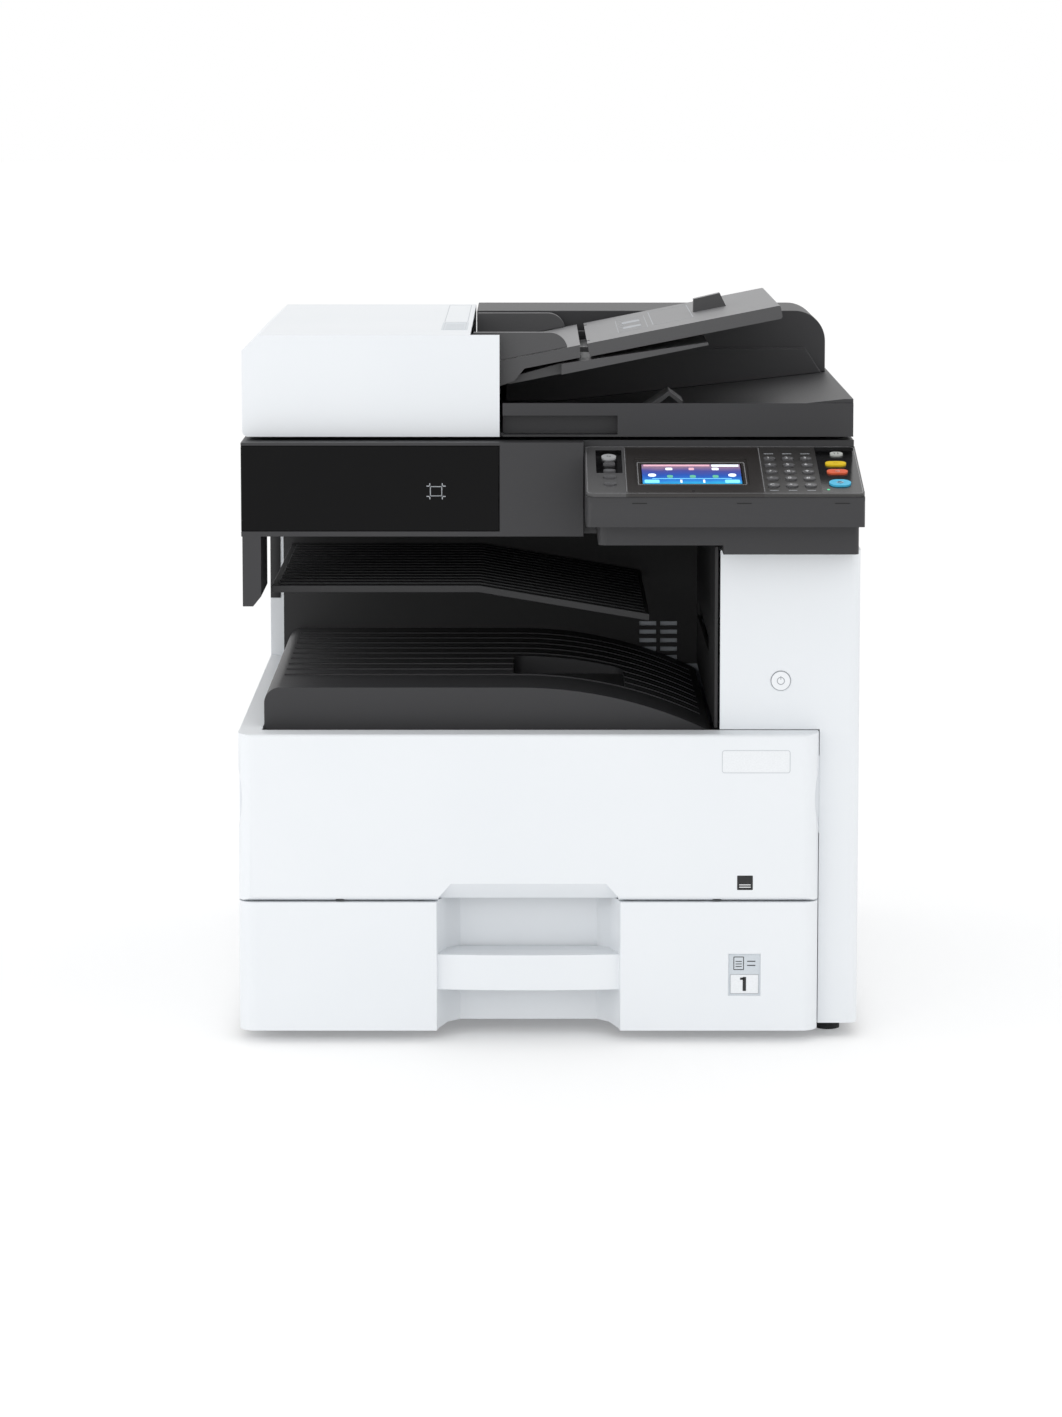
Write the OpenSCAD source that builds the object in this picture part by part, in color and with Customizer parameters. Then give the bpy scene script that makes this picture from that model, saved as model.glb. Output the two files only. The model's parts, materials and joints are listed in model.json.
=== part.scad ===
// Desktop A3 photocopier: paper cassette and engine bay below, an in-body delivery tray with a
// job separator above them, a flatbed scanner, a document feeder on hinges and a tilted
// operation panel with keys.
// +X is to the user's right, +Y points to the back, +Z is up. The origin is on the floor, under
// the middle of the machine.

/* [Overall] */
// Width of the body
body_w = 594; // [520:1:720]
// Depth from the panel's front edge to the rear cover
body_d = 696; // [620:1:840]

/* [Heights] */
// Height of the feet
foot_h = 13; // [10:0.5:25]
// Height of the cassette's front
cassette_h = 125; // [105:1:160]
// Height of the front cover
cover_h = 160.5; // [140:0.5:200]
// Height of the delivery opening over the front cover
opening_h = 173; // [150:1:220]
// Height of the scanner
scanner_h = 91; // [80:1:120]
// Height of the document feeder's white cover
feeder_h = 98.5; // [90:0.5:125]

/* [Front] */
// How far the panel stands out in front of the front cover
panel_overhang = 33; // [20:1:60]
// Width of the right column
column_w = 134; // [110:1:160]
// Width of the column's lower strip, beside the cassette
strip_w = 40; // [30:1:60]
// How far the column stands behind the front cover
column_step = 28; // [20:1:34]
// Fillet of the front's upright corners
corner_r = 16; // [6:1:22]
// Width of the cassette's handle bay
bay_w = 172; // [120:1:220]
// Depth of the handle bay
bay_depth = 49; // [40:1:60]

/* [Panel] */
// Width of the operation panel
panel_w = 261.5; // [250:0.5:300]
// Length of the panel's face, down its slope
panel_l = 137; // [130:1:160]
// Tilt of the panel's face
panel_tilt = 13.6; // [5:0.1:25]

/* [Moulding] */
// Wall of the covers
wall = 3; // [2:0.1:4]
// Thickness of the steel sheet
sheet = 3; // [2:0.1:4]
// Seam between neighbouring covers
seam = 1.5; // [0.8:0.1:3]
// Gap between a piece and what it slides on or seats in
fit = 0.3; // [0.2:0.05:0.5]
// Radial clearance of a turning shaft
run = 0.05; // [0.03:0.01:0.1]

/* [Hidden] */
$fn = 48;

left = -body_w / 2;
right = body_w / 2;
rear = body_d / 2;

// Upright planes, from the front to the back
panel_y = -body_d / 2;
front_y = panel_y + panel_overhang;
column_y = front_y + column_step;
tray_y = front_y + 47;
scanner_y = front_y + 80;
adf_y = front_y + 103;
table_y = adf_y + 26;
frame_y = column_y + 7;
wall_y = rear - 205;
post_y = rear - 143;
adf_back = rear - 83;
table_back = adf_back - 153;
bench_y = table_back + 4;
box_y = bench_y + 10;
scanner_back = rear - 48;
cassette_back = wall_y - 73;
frame_back = rear - 6;

// Upright planes, from the left to the right
side_x = right - strip_w;
column_x = right - column_w;
inner_x = column_x - 2;
plate_x = side_x + 5;
bay_mid = (left + side_x) / 2;
scanner_right = right - 2;
adf_right = right - 3;
split_x = left + 249;
top_x = left + 220.5;

// Levels, from the floor up
base_z = foot_h + sheet;
cassette_top = foot_h + cassette_h;
cover_bot = cassette_top + seam;
cover_top = cover_bot + cover_h;
column_top = cover_top + opening_h;
scan_bot = column_top + 7;
scan_top = scan_bot + scanner_h;
adf_bot = scan_top + 3.5;
adf_top = adf_bot + feeder_h;
rim_z = adf_bot + 32.5;
step_z = rim_z + 4;
box_top = adf_top + 2;

// Front cover: its hinge line, its grips and the scoop over the handle bay
cover_r = 6;
cover_axis = [front_y + cover_r, cover_bot + cover_r];
cover_wall = 2.5;
cover_pin_r = 1.6;
cover_lug_r = 3.2;
cover_lugs = [left + 97, side_x - 97];
grip_h = 57;
grip_deep = 4;
grip_r = (grip_h * grip_h / 4 + grip_deep * grip_deep) / (2 * grip_deep);
grip_z = cover_bot + 98;
scoop_h = 16.5;
scoop_deep = 15;

// Cassette
tray_l = left + 20;
tray_r = side_x - 17;
tray_z = base_z + 4;
tray_top = cassette_top - 13;
bar_z = foot_h + 39;
bar_h = 34;
lift_axis = [tray_l + 15, tray_z + wall + 4];
lift_pin_r = 2;

// Engine bay
deck_z = cover_bot + 3.5;
deck_top = deck_z + sheet;
bottle_r = 38;
drum_x = side_x - 77;
drum_z = deck_top + 55;
drum_r = 15;
drum_shaft_r = 5;
drum_y = [frame_y + 30, wall_y - 38];

// Delivery space
out_l = left + 23;
out_z = cover_top + 38;
out_flat = left + 268;
out_r = 420;
out_skirt = cover_top - 10;
out_right = inner_x - wall - 2;
sep_y = front_y + 115;
sep_z = cover_top + 128;
sep_t = 7;
sep_flat = left + 229;
sep_right = inner_x - 63;
sep_drop = 28;
exit_x = column_x + 8;
exit_z = cover_top + 62;
exit_r = 9;
exit_shaft_r = 3;
exit_y = [tray_y + 120, wall_y - 12];

// Power button
power_x = right - 76;
power_z = cover_top + 47.5;
power_r = 9.4;

// Right door and bypass tray
door_y = [-190, rear - 158];
door_z = [foot_h + 47, column_top - 33];
door_gap = 1;
door_r = 6;
door_axis = [right - door_r, door_y[1] - door_gap - door_r];
door_pin_r = 2.5;
bypass_y = [door_y[0] + 50, door_y[1] - 50];
bypass_z = [door_z[0] + 50, door_z[0] + 270];
bypass_t = 4;
bypass_axis = [right - bypass_t / 2, bypass_z[0] + bypass_t / 2];
bypass_pin_r = 1.2;

// Scanner
glass_w = 432;
glass_d = 297;
glass_t = 3;
glass_x = left + 52;
glass_y = adf_y + 64;
rod_r = 4;
rod_y = glass_y + glass_d / 2;
rod_z = scan_bot + 22;
carriage_w = 34;
carriage_x = left + 34;

// Operation panel, measured on its tilted face: x to the right, t down the slope from its top edge
panel_x = right - 1.5 - panel_w;
panel_top_y = panel_y + 5 + panel_l * cos(panel_tilt);
panel_top_z = scan_top - 6;
tier_x = [panel_x + 12, panel_x + panel_w - 3.5];
tier_y = front_y - 7;
tier_z = scan_bot + 22;
panel_lip = 0.8;
nose_z = panel_top_z - panel_l * sin(panel_tilt);
lcd_pos = [panel_x + 53, 48];
lcd_size = [96, 57];
key_rise = 1.6;

// Every key: name, centre [x, t], width and length of its oval, colour
pad_x = panel_x + 177;
pad_t = 38.5;
pad_step = [17.5, 19];
PAD = [
    for (row = [0 : 4], col = [0 : 2])
        [str("number_key_", row + 1, "_", col + 1),
         [pad_x + col * pad_step[0], pad_t + row * pad_step[1]], 11, 8, "#3a3a3c"]
];
SIDE = [
    ["home_key", [panel_x + 23, 34], 14, 14, "#b9bcbe"],
    ["menu_key_1", [panel_x + 23, 54], 11.5, 8, "#4a4a4c"],
    ["menu_key_2", [panel_x + 23, 73.5], 11.5, 8, "#4a4a4c"],
    ["menu_key_3", [panel_x + 23, 90.5], 11.5, 8, "#4a4a4c"],
    ["menu_key_4", [panel_x + 23, 110], 11.5, 8, "#4a4a4c"],
    ["reset_key", [panel_x + 242, 25], 12.3, 9, "#c9cbc9"],
    ["energy_key", [panel_x + 239.5, 53], 20, 11, "#e8b500"],
    ["stop_key", [panel_x + 239.5, 76], 20, 11, "#d8542a"],
    ["start_key", [panel_x + 240, 108], 20.6, 17, "#3fa9cf"]
];
KEYS = concat(SIDE, PAD);

// Document feeder
adf_r = 6;
adf_axis = [left + adf_r, adf_bot + adf_r];
adf_pin_r = 1.6;
adf_lug_r = 2.7;
adf_lugs = [adf_y + 9, adf_back - 9];
chamfer = [17, 15];
hinge_x = [left + 127, right - 127];
hinge_y = scanner_back - 14;
hinge_z = scan_top + 13;
hinge_pin_r = 3;
hinge_r = 7;
// Eject table: low at the left, rising to the right
eject_l = [left + 309, adf_bot + 6.5];
eject_r = [right - 12, step_z];
eject_rise = (eject_r[1] - eject_l[1]) / (eject_r[0] - eject_l[0]);
pocket_r = left + 363;
// Entry table and document tray share one slope
tray_slope = 11.2;
entry_l = split_x + 2;
entry_r = entry_l + 76;
entry_z = adf_bot + 72;
entry_t = 12;
doc_x = entry_r + 7;
doc_z = entry_z + (doc_x - entry_l) * tan(tray_slope);
doc_l = 191;
doc_t = 13;
doc_hinge = [6, -8];
doc_lug_r = 4.5;
doc_pin_r = 2;
doc_lugs = [table_y + 36, table_back - 36];
guide_t = 5;
feed_x = split_x - 48;
feed_z = adf_bot + 76.5;
feed_r = 11;
feed_shaft_r = 3;
feed_y = [table_y + 40, table_back - 40];
stop_x = left + 414;
stop_y = [table_y + 40, table_y + 96];
stop_pin_r = 1.5;
stop_axis = [stop_x - 23.5, eject_l[1] + (stop_x - 23.5 - eject_l[0]) * eject_rise + 3.2];

// ---- Shapes -------------------------------------------------------------------------------

// A box between two corners
module block(a, b) {
    translate(a) cube([b[0] - a[0], b[1] - a[1], b[2] - a[2]]);
}

// A flat shape of x and z, drawn out along Y
module along_y(y0, y1) {
    translate([0, y1, 0]) rotate([90, 0, 0]) linear_extrude(y1 - y0) children();
}

// A flat shape of y and z, drawn out along X
module along_x(x0, x1) {
    translate([x0, 0, 0]) rotate([90, 0, 90]) linear_extrude(x1 - x0) children();
}

// A flat shape of x and y, drawn out along Z
module along_z(z0, z1) {
    translate([0, 0, z0]) linear_extrude(z1 - z0) children();
}

module rod_x(x0, x1, y, z, r) {
    along_x(x0, x1) translate([y, z]) circle(r);
}

module rod_y(y0, y1, x, z, r) {
    along_y(y0, y1) translate([x, z]) circle(r);
}

module rod_z(z0, z1, x, y, r) {
    along_z(z0, z1) translate([x, y]) circle(r);
}

module rect(a, b) {
    translate(a) square([b[0] - a[0], b[1] - a[1]]);
}

// A rectangle with a radius of its own at each corner, from the low left one anticlockwise
module round_rect(a, b, r) {
    difference() {
        rect(a, b);
        for (c = [[a[0], a[1], 1, 1, r[0]], [b[0], a[1], -1, 1, r[1]],
                  [b[0], b[1], -1, -1, r[2]], [a[0], b[1], 1, -1, r[3]]])
            if (c[4] > 0) translate([c[0], c[1]]) corner_cut(c[2], c[3], c[4]);
    }
}

// What a fillet of radius r takes off a corner at the origin whose sides run to sx and sy
module corner_cut(sx, sy, r) {
    difference() {
        translate([sx < 0 ? -r : -1, sy < 0 ? -r : -1]) square(r + 1);
        translate([sx * r, sy * r]) circle(r);
    }
}

// An oval with straight sides, w across and l long, about the origin
module oval(w, l) {
    r = min(w, l) / 2;
    dx = w / 2 - r;
    dy = l / 2 - r;
    if (dx > 0) square([2 * dx, l], center = true);
    if (dy > 0) square([w, 2 * dy], center = true);
    translate([dx, dy]) circle(r);
    translate([-dx, -dy]) circle(r);
}

// ---- Frame and feet -----------------------------------------------------------------------

module main_frame() {
    l = left + 9;
    color("#8d9196") {
        difference() {
            union() {
                block([l, frame_y, foot_h], [right - 6, frame_back, base_z]);
                along_x(l, l + sheet) polygon([
                    [frame_y, foot_h], [frame_back, foot_h], [frame_back, scan_bot],
                    [post_y + 5, scan_bot], [post_y + 5, cover_top - wall], [frame_y, cover_top - wall]
                ]);
                block([plate_x, frame_y, foot_h], [plate_x + sheet, frame_back, scan_bot]);
                block([l, frame_back - sheet, foot_h], [plate_x, frame_back, scan_bot]);
                block([l, frame_y, deck_z], [plate_x, frame_back, deck_top]);
                block([out_l, wall_y + 9, cover_top - 8], [plate_x, wall_y + 9 + sheet, scan_bot]);
                block([l, post_y + 5, scan_bot - sheet], [plate_x, frame_back, scan_bot]);
                block([l + 9, wall_y + 9, scan_bot - sheet], [plate_x, post_y + 6, scan_bot]);
                block([exit_x + 12, frame_y + 5, scan_bot - sheet], [plate_x, wall_y + 10, scan_bot]);
                cassette_rails();
                for (x = cover_lugs) cover_lug(x);
                for (y = drum_y) drum_stand(y);
            }
            inlet_hole(frame_back - sheet - 1, frame_back + 1, 4);
            // Clearance round the cassette's handle bay
            block([bay_mid - bay_w / 2 - wall - 4, frame_y - 1, foot_h - 1],
                  [bay_mid + bay_w / 2 + wall + 4, front_y + bay_depth + wall + 2, base_z + 1]);
        }
    }
}

// The two ribs that the cassette runs on
module cassette_rails() {
    for (x = [tray_l + 40, tray_r - 52])
        block([x, frame_y, base_z - 1], [x + 12, cassette_back, tray_z - fit]);
}

// An arm on the deck that holds the front cover's pin
module cover_lug(x) {
    difference() {
        union() {
            rod_x(x - 3, x + 3, cover_axis[0], cover_axis[1], cover_lug_r);
            block([x - 3, cover_axis[0], deck_z], [x + 3, frame_y + 2, deck_z + 4]);
        }
        rod_x(x - 4, x + 4, cover_axis[0], cover_axis[1], cover_pin_r + run);
    }
}

module drum_stand(y) {
    difference() {
        block([drum_x - 14, y - 3, deck_top - 1], [drum_x + 14, y + 3, drum_z + 12]);
        rod_y(y - 4, y + 4, drum_x, drum_z, drum_shaft_r + run);
    }
}

module feet() {
    color("#1c1c1e")
        for (x = [left + 26, right - 26], y = [front_y + 72, rear - 48])
            translate([x, y, 0]) {
                cylinder(r = 12, h = foot_h - 4);
                translate([0, 0, foot_h - 4]) cylinder(r = 9, h = 4);
            }
}

// ---- Fixed covers -------------------------------------------------------------------------

module left_cover() {
    y0 = column_y + 0.5;
    y1 = rear - wall - 0.5;
    bottom = foot_h + 1;
    post_top = scan_bot - sheet;
    color("#f1f3f5") {
        block([left, y0, bottom], [left + wall, y1, cover_top]);
        block([left, y0, cover_top - wall], [out_l - 1, post_y + 1, cover_top]);
        block([left, post_y, cover_top - wall], [left + wall, y1, post_top]);
        block([left, post_y, cover_top - wall], [left + 17, post_y + wall, post_top]);
        block([left + 14, post_y, cover_top - wall], [left + 17, frame_back - sheet, post_top]);
    }
}

// The power inlet's opening, with the given margin round the socket
module inlet_hole(y0, y1, margin) {
    x = right - 110;
    z = foot_h + 60;
    block([x - 14 - margin, y0, z - 10 - margin], [x + 14 + margin, y1, z + 10 + margin]);
}

module rear_cover() {
    vent_w = 5;
    color("#e4e6e8") difference() {
        union() {
            block([left, rear - wall, foot_h + 1], [right, rear, scan_bot + wall]);
            block([left, scanner_back + 1, scan_bot], [right, rear, scan_bot + wall]);
            inlet_hole(rear - 24, rear, 2);
        }
        inlet_hole(rear - 22, rear + 1, 0);
        for (i = [0 : 11], z = [cover_top - 110, column_top - 100])
            block([left + 80 + 3 * vent_w * i, rear - wall - 1, z],
                  [left + 80 + vent_w + 3 * vent_w * i, rear + 1, z + 60]);
    }
}

// Plan of the column's skin: across the front and back along the right side
module column_plan(x0) {
    difference() {
        round_rect([x0, column_y], [right, rear - wall - 0.5], [0, 10, 0, 0]);
        round_rect([x0 - 1, column_y + wall], [right - wall, rear], [0, 7, 0, 0]);
    }
}

module right_cover() {
    color("#f1f3f5") difference() {
        union() {
            along_z(foot_h + 1, cover_top + 1) column_plan(side_x + seam);
            along_z(cover_top + 0.5, column_top) column_plan(column_x);
            block([side_x + seam, column_y, foot_h + 1], [side_x + seam + wall, frame_y - 1, cover_top]);
            block([column_x, column_y, cover_top + 0.5], [column_x + wall, frame_y - 1, column_top]);
            along_z(column_top - wall, column_top)
                round_rect([column_x, column_y], [right, wall_y], [0, 10, 0, 0]);
            rod_y(column_y + 1, column_y + 13, power_x, power_z, power_r + fit + 2.5);
            for (z = [door_z[0] - 4, door_z[1]])
                block([door_axis[0] - 5, door_axis[1] - 6, z], [right - 2, door_axis[1] + 6, z + 4]);
        }
        rod_y(column_y - 1, column_y + 14, power_x, power_z, power_r + fit);
        block([right - 12, door_y[0], door_z[0]], [right + 1, door_y[1], door_z[1]]);
        rod_z(door_z[0] - 5, door_z[1] + 5, door_axis[0], door_axis[1], door_pin_r + run);
        block([plate_x - 0.5, frame_y - 0.5, column_top - wall - 1],
              [plate_x + sheet + 0.5, wall_y + 1, column_top + 1]);
    }
}

module power_button() {
    color("#e9ebed") {
        rod_y(column_y - 0.8, column_y + 10, power_x, power_z, power_r);
    }
}

module inner_cover() {
    slot = [exit_z - 8, exit_z + 8];
    color("#2a2a2c") difference() {
        union() {
            block([left + 18, wall_y, cover_top], [inner_x, wall_y + wall, scan_bot - 4]);
            block([inner_x - wall, column_y + 5, cover_top + 1], [inner_x, wall_y + 1, scan_bot - 4]);
            for (y = exit_y)
                block([inner_x - 1, y - 2, exit_z - 12], [exit_x + 6, y + 2, exit_z + 12]);
        }
        block([inner_x - wall - 1, exit_y[0] + 4, slot[0]], [inner_x + 1, exit_y[1] - 4, slot[1]]);
        for (y = exit_y) rod_y(y - 3, y + 3, exit_x, exit_z, exit_shaft_r + run);
        for (col = [0, 1], row = [0 : 4])
            block([inner_x - 64 + col * 22, wall_y - 1, cover_top + 4 + row * 9],
                  [inner_x - 46 + col * 22, wall_y + wall + 1, cover_top + 9 + row * 9]);
    }
}

// ---- Delivery trays -----------------------------------------------------------------------

// The delivery tray's outline: flat, then falling away in one arc to the right
module out_profile(lift) {
    r = lift < 0 ? 12 : 15;
    round_rect([out_l - min(lift, 0), out_skirt - 1], [out_flat + 0.5, out_z + lift], [0, 0, 0, r]);
    intersection() {
        translate([out_flat, out_z - out_r]) circle(out_r + lift, $fn = 360);
        rect([out_flat, out_skirt - 1], [out_right + min(lift, 0), out_z + lift]);
    }
}

module output_tray() {
    pitch = 36;
    well = [[out_flat - 6, tray_y + 83], [out_flat + 104, tray_y + 208]];
    rib_h = 1.2;
    color("#3a3b3d") intersection() {
        difference() {
            union() {
                along_y(tray_y, wall_y) out_profile(0);
                for (y = [tray_y + 79.5 : pitch : wall_y - 20])
                    along_y(y, y + 4) intersection() {
                        out_profile(rib_h);
                        rect([out_l + 15, out_skirt], [out_right - 8, out_z + rib_h]);
                    }
                block([out_l, column_y + 1, cover_top - 6], [out_right, tray_y + 1, cover_top - 2.5]);
            }
            difference() {
                along_y(tray_y + wall, wall_y - wall) out_profile(-wall);
                block([well[0][0] - wall, well[0][1] - wall, out_z - 18 - wall],
                      [well[1][0] + wall, well[1][1] + wall, out_z]);
            }
            along_z(out_z - 18, out_z + 5)
                round_rect(well[0], well[1], [12, 12, 12, 12]);
        }
        block([out_l - 1, column_y, out_skirt], [out_right + 1, wall_y, out_z + 10]);
    }
}

module job_tray() {
    rib_h = 1.5;
    color("#1d1d1f") union() {
        along_y(sep_y, wall_y) polygon([
            [out_l + 4, sep_z], [sep_flat, sep_z], [sep_right, sep_z - sep_drop],
            [sep_right, sep_z - sep_drop - sep_t], [sep_flat, sep_z - sep_t],
            [out_l + 4, sep_z - sep_t]
        ]);
        for (y = [sep_y + 12 : 22 : wall_y - 12])
            along_y(y, y + 3) polygon([
                [out_l + 10, sep_z - 1], [out_l + 10, sep_z + rib_h], [sep_flat, sep_z + rib_h],
                [sep_right - 4, sep_z - sep_drop + rib_h + 0.6],
                [sep_right - 4, sep_z - sep_drop - 1], [sep_flat, sep_z - 1]
            ]);
    }
}

module exit_rollers() {
    color("#3c3c3e") {
        rod_y(exit_y[0] - 5, exit_y[1] + 5, exit_x, exit_z, exit_shaft_r);
        for (i = [0 : 3]) {
            y = exit_y[0] + 35 + i * (exit_y[1] - exit_y[0] - 90) / 3;
            rod_y(y, y + 20, exit_x, exit_z, exit_r);
        }
    }
}

// ---- Scanner ------------------------------------------------------------------------------

module scanner_housing() {
    inner = scanner_y + 6.3;
    step_y = panel_top_y + panel_lip + fit;
    bracket = [left + 1, left + 19];
    color("#3d3e40") {
        difference() {
            block([left, scanner_y, scan_bot], [scanner_right, scanner_back, scan_top]);
            block([left + wall, inner, scan_bot + wall], [panel_x - 4, inner + 20, scan_top - 5]);
            block([left + wall, step_y + wall, scan_bot + wall],
                  [scanner_right - wall, scanner_back - wall, scan_top - 5]);
            block([panel_x - 1, scanner_y - 1, scan_bot - 1], [scanner_right + 1, step_y, scan_top + 1]);
            block([left - 1, scanner_y - 1, scan_bot + 5], [split_x + fit, scanner_y + 3 + fit, scan_top - 3]);
            block([glass_x - fit, glass_y - fit, scan_top - glass_t],
                  [glass_x + glass_w + fit, glass_y + glass_d + fit, scan_top + 1]);
            block([glass_x + 4, glass_y + 4, scan_top - 6],
                  [glass_x + glass_w - 4, glass_y + glass_d - 4, scan_top]);
        }
        rod_x(left + 1, scanner_right - 1, rod_y, rod_z, rod_r);
        along_y(scanner_y, scanner_y + 95) polygon([
            [bracket[0], scan_bot + 1], [bracket[0], scan_bot - 68], [bracket[1] - 8, scan_bot - 68],
            [bracket[1], scan_bot - 58], [bracket[1], scan_bot + 1]
        ]);
    }
}

module scanner_front_panel() {
    color("#0b0b0c")
        block([left, scanner_y, scan_bot + 5 + fit], [split_x - 0.7, scanner_y + 3, scan_top - 3 - fit]);
}

module platen_glass() {
    color("#b9d3d8", 0.4)
        block([glass_x, glass_y, scan_top - glass_t], [glass_x + glass_w, glass_y + glass_d, scan_top]);
}

module scan_carriage() {
    x1 = carriage_x + carriage_w;
    color("#2c2c2e") difference() {
        union() {
            block([carriage_x, glass_y + 2, rod_z + 12], [x1, glass_y + glass_d - 2, scan_top - 10]);
            rod_x(carriage_x, x1, rod_y, rod_z, 9);
            block([carriage_x, rod_y - 9, rod_z], [x1, rod_y + 9, rod_z + 13]);
        }
        rod_x(carriage_x - 1, x1 + 1, rod_y, rod_z, rod_r + run);
        block([carriage_x + 4, glass_y + 8, rod_z + 20], [x1 - 4, glass_y + glass_d - 8, scan_top]);
    }
}

// ---- Operation panel ----------------------------------------------------------------------

// Puts the panel's face at z = 0, with its top edge at y = 0 and the slope running to -y
module on_panel() {
    translate([0, panel_top_y, panel_top_z]) rotate([panel_tilt, 0, 0]) children();
}

// The housing's side view, shrunk by m on every outer side
module panel_side(m) {
    drop = (3 + m) / cos(panel_tilt);
    back = panel_lip - m;
    polygon([
        [panel_top_y + back, panel_top_z - drop + back * tan(panel_tilt)],
        [panel_y + 5 + m, nose_z - drop + m * tan(panel_tilt)],
        [panel_y + m, nose_z - 9],
        [panel_y + 2 + m, tier_z + m],
        [panel_top_y + back, tier_z + m]
    ]);
}

module panel_housing() {
    x0 = panel_x;
    x1 = panel_x + panel_w;
    back = panel_top_y - 20;
    color("#3b3b3d") difference() {
        union() {
            difference() {
                intersection() {
                    along_x(x0, x1) panel_side(0);
                    along_z(tier_z - 1, scan_top)
                        round_rect([x0, panel_y], [x1, panel_top_y + 1], [9, 5, 0, 0]);
                }
                along_x(x0 + wall, x1 - wall) panel_side(wall);
                on_panel() translate([x0 + wall + 3, -panel_l + 11, -14])
                    cube([panel_w - 2 * wall - 6, panel_l - 20, 16]);
            }
            panel_tier();
        }
        // The two hollows are one
        block([tier_x[0] + 20, tier_y + 20, tier_z - 2], [tier_x[1] - 20, back, tier_z + 4]);
    }
}

// The lower step of the housing, which reaches down to the column on its right
module panel_tier() {
    difference() {
        along_z(column_top + fit, tier_z + 1)
            round_rect([tier_x[0], tier_y], [tier_x[1], panel_top_y], [8, 5, 0, 0]);
        block([tier_x[0] - 1, tier_y - 1, column_top], [column_x + 1, panel_top_y + 1, scan_bot + 2]);
        block([column_x, column_y - 1, column_top], [tier_x[1] + 1, panel_top_y + 1, scan_bot + 2]);
        along_z(scan_bot + 5, tier_z - 1)
            round_rect([tier_x[0] + wall, tier_y + wall], [tier_x[1] - wall, panel_top_y - wall], [5, 2, 0, 0]);
    }
}

module panel_fascia() {
    x1 = panel_x + panel_w;
    color("#2e2e30") on_panel() difference() {
        translate([0, 0, -3]) linear_extrude(3)
            round_rect([panel_x, -panel_l], [x1, 0], [9, 5, 0, 0]);
        for (k = KEYS)
            translate([k[1][0], -k[1][1], -4]) linear_extrude(6) oval(k[2] + 2 * fit, k[3] + 2 * fit);
        translate([lcd_pos[0] - fit, -lcd_pos[1] - lcd_size[1] - fit, -4])
            cube([lcd_size[0] + 2 * fit, lcd_size[1] + 2 * fit, 6]);
        translate([lcd_pos[0] - 6, -lcd_pos[1] - lcd_size[1] - 6, -1])
            cube([lcd_size[0] + 12, lcd_size[1] + 18, 2]);
    }
}

module lcd_screen() {
    color("#2b4fa8") on_panel() translate([lcd_pos[0], -lcd_pos[1] - lcd_size[1], -4]) {
        cube([lcd_size[0], lcd_size[1], 2.6]);
        translate([-3, -3, -2]) cube([lcd_size[0] + 6, lcd_size[1] + 6, 3 - fit]);
    }
}

module key(k) {
    flange = 1.6;
    color(k[4]) on_panel() translate([k[1][0], -k[1][1], 0]) {
        translate([0, 0, -4]) linear_extrude(4 + key_rise) oval(k[2], k[3]);
        translate([0, 0, -4.9]) linear_extrude(1.6) oval(k[2] + flange, k[3] + flange);
    }
}

// ---- Front cover --------------------------------------------------------------------------

// Plan of the front, shrunk by m, with filleted upright corners
module front_plan(m, back) {
    r = max(corner_r - m, 1);
    round_rect([left + m, front_y + m], [side_x - m, back], [r, r, 0, 0]);
}

// The round grips cut into both ends of the cover
module grips(r) {
    for (x = [left - grip_r + grip_deep, side_x + grip_r - grip_deep])
        rod_y(front_y - 1, column_y + 1, x, grip_z, r);
}

// The scoop over the handle bay; m widens it
module scoop(m) {
    w = bay_w / 2;
    intersection() {
        along_x(bay_mid - w - 20, bay_mid + w + 20) polygon([
            [front_y - 5, cover_bot - 5], [front_y - 5, cover_bot + scoop_h + 5.5 + 1.5 * m],
            [front_y + scoop_deep + m, cover_bot + m * 0.4], [front_y + scoop_deep + m, cover_bot - 5]
        ]);
        along_y(front_y - 6, column_y + 1) polygon([
            [bay_mid - w - m, cover_bot - 5], [bay_mid + w + m, cover_bot - 5],
            [bay_mid + w + m, cover_bot + 3 + m], [bay_mid + w - 12 + m, cover_bot + scoop_h + m],
            [bay_mid - w + 12 - m, cover_bot + scoop_h + m], [bay_mid - w - m, cover_bot + 3 + m]
        ]);
    }
}

module front_cover() {
    a = cover_axis;
    color("#f1f3f5") difference() {
        union() {
            difference() {
                intersection() {
                    along_z(cover_bot, cover_top) front_plan(0, column_y);
                    along_x(left, side_x)
                        round_rect([front_y, cover_bot], [column_y, cover_top], [cover_r, 3, 0, 4]);
                }
                difference() {
                    intersection() {
                        along_z(cover_bot, cover_top) front_plan(cover_wall, column_y + 1);
                        along_x(left, side_x) round_rect(
                            [front_y + cover_wall, cover_bot + cover_wall],
                            [column_y + 1, cover_top - cover_wall], [cover_r - cover_wall, 0, 0, 1.5]);
                    }
                    grips(grip_r + cover_wall);
                    scoop(cover_wall);
                }
            }
            for (x = cover_lugs) {
                for (side = [-8, 5])
                    along_x(x + side, x + side + 3)
                        rect([front_y + 2, cover_bot + 2], [a[0] + 5, a[1] + 5]);
                rod_x(x - 8, x + 8, a[0], a[1], cover_pin_r);
            }
        }
        grips(grip_r);
        scoop(0);
        for (x = cover_lugs)
            block([x - 4, a[0] - 3.8, cover_bot - 1], [x + 4, column_y + 1, a[1] - 1]);
    }
}

// ---- Cassette -----------------------------------------------------------------------------

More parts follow.
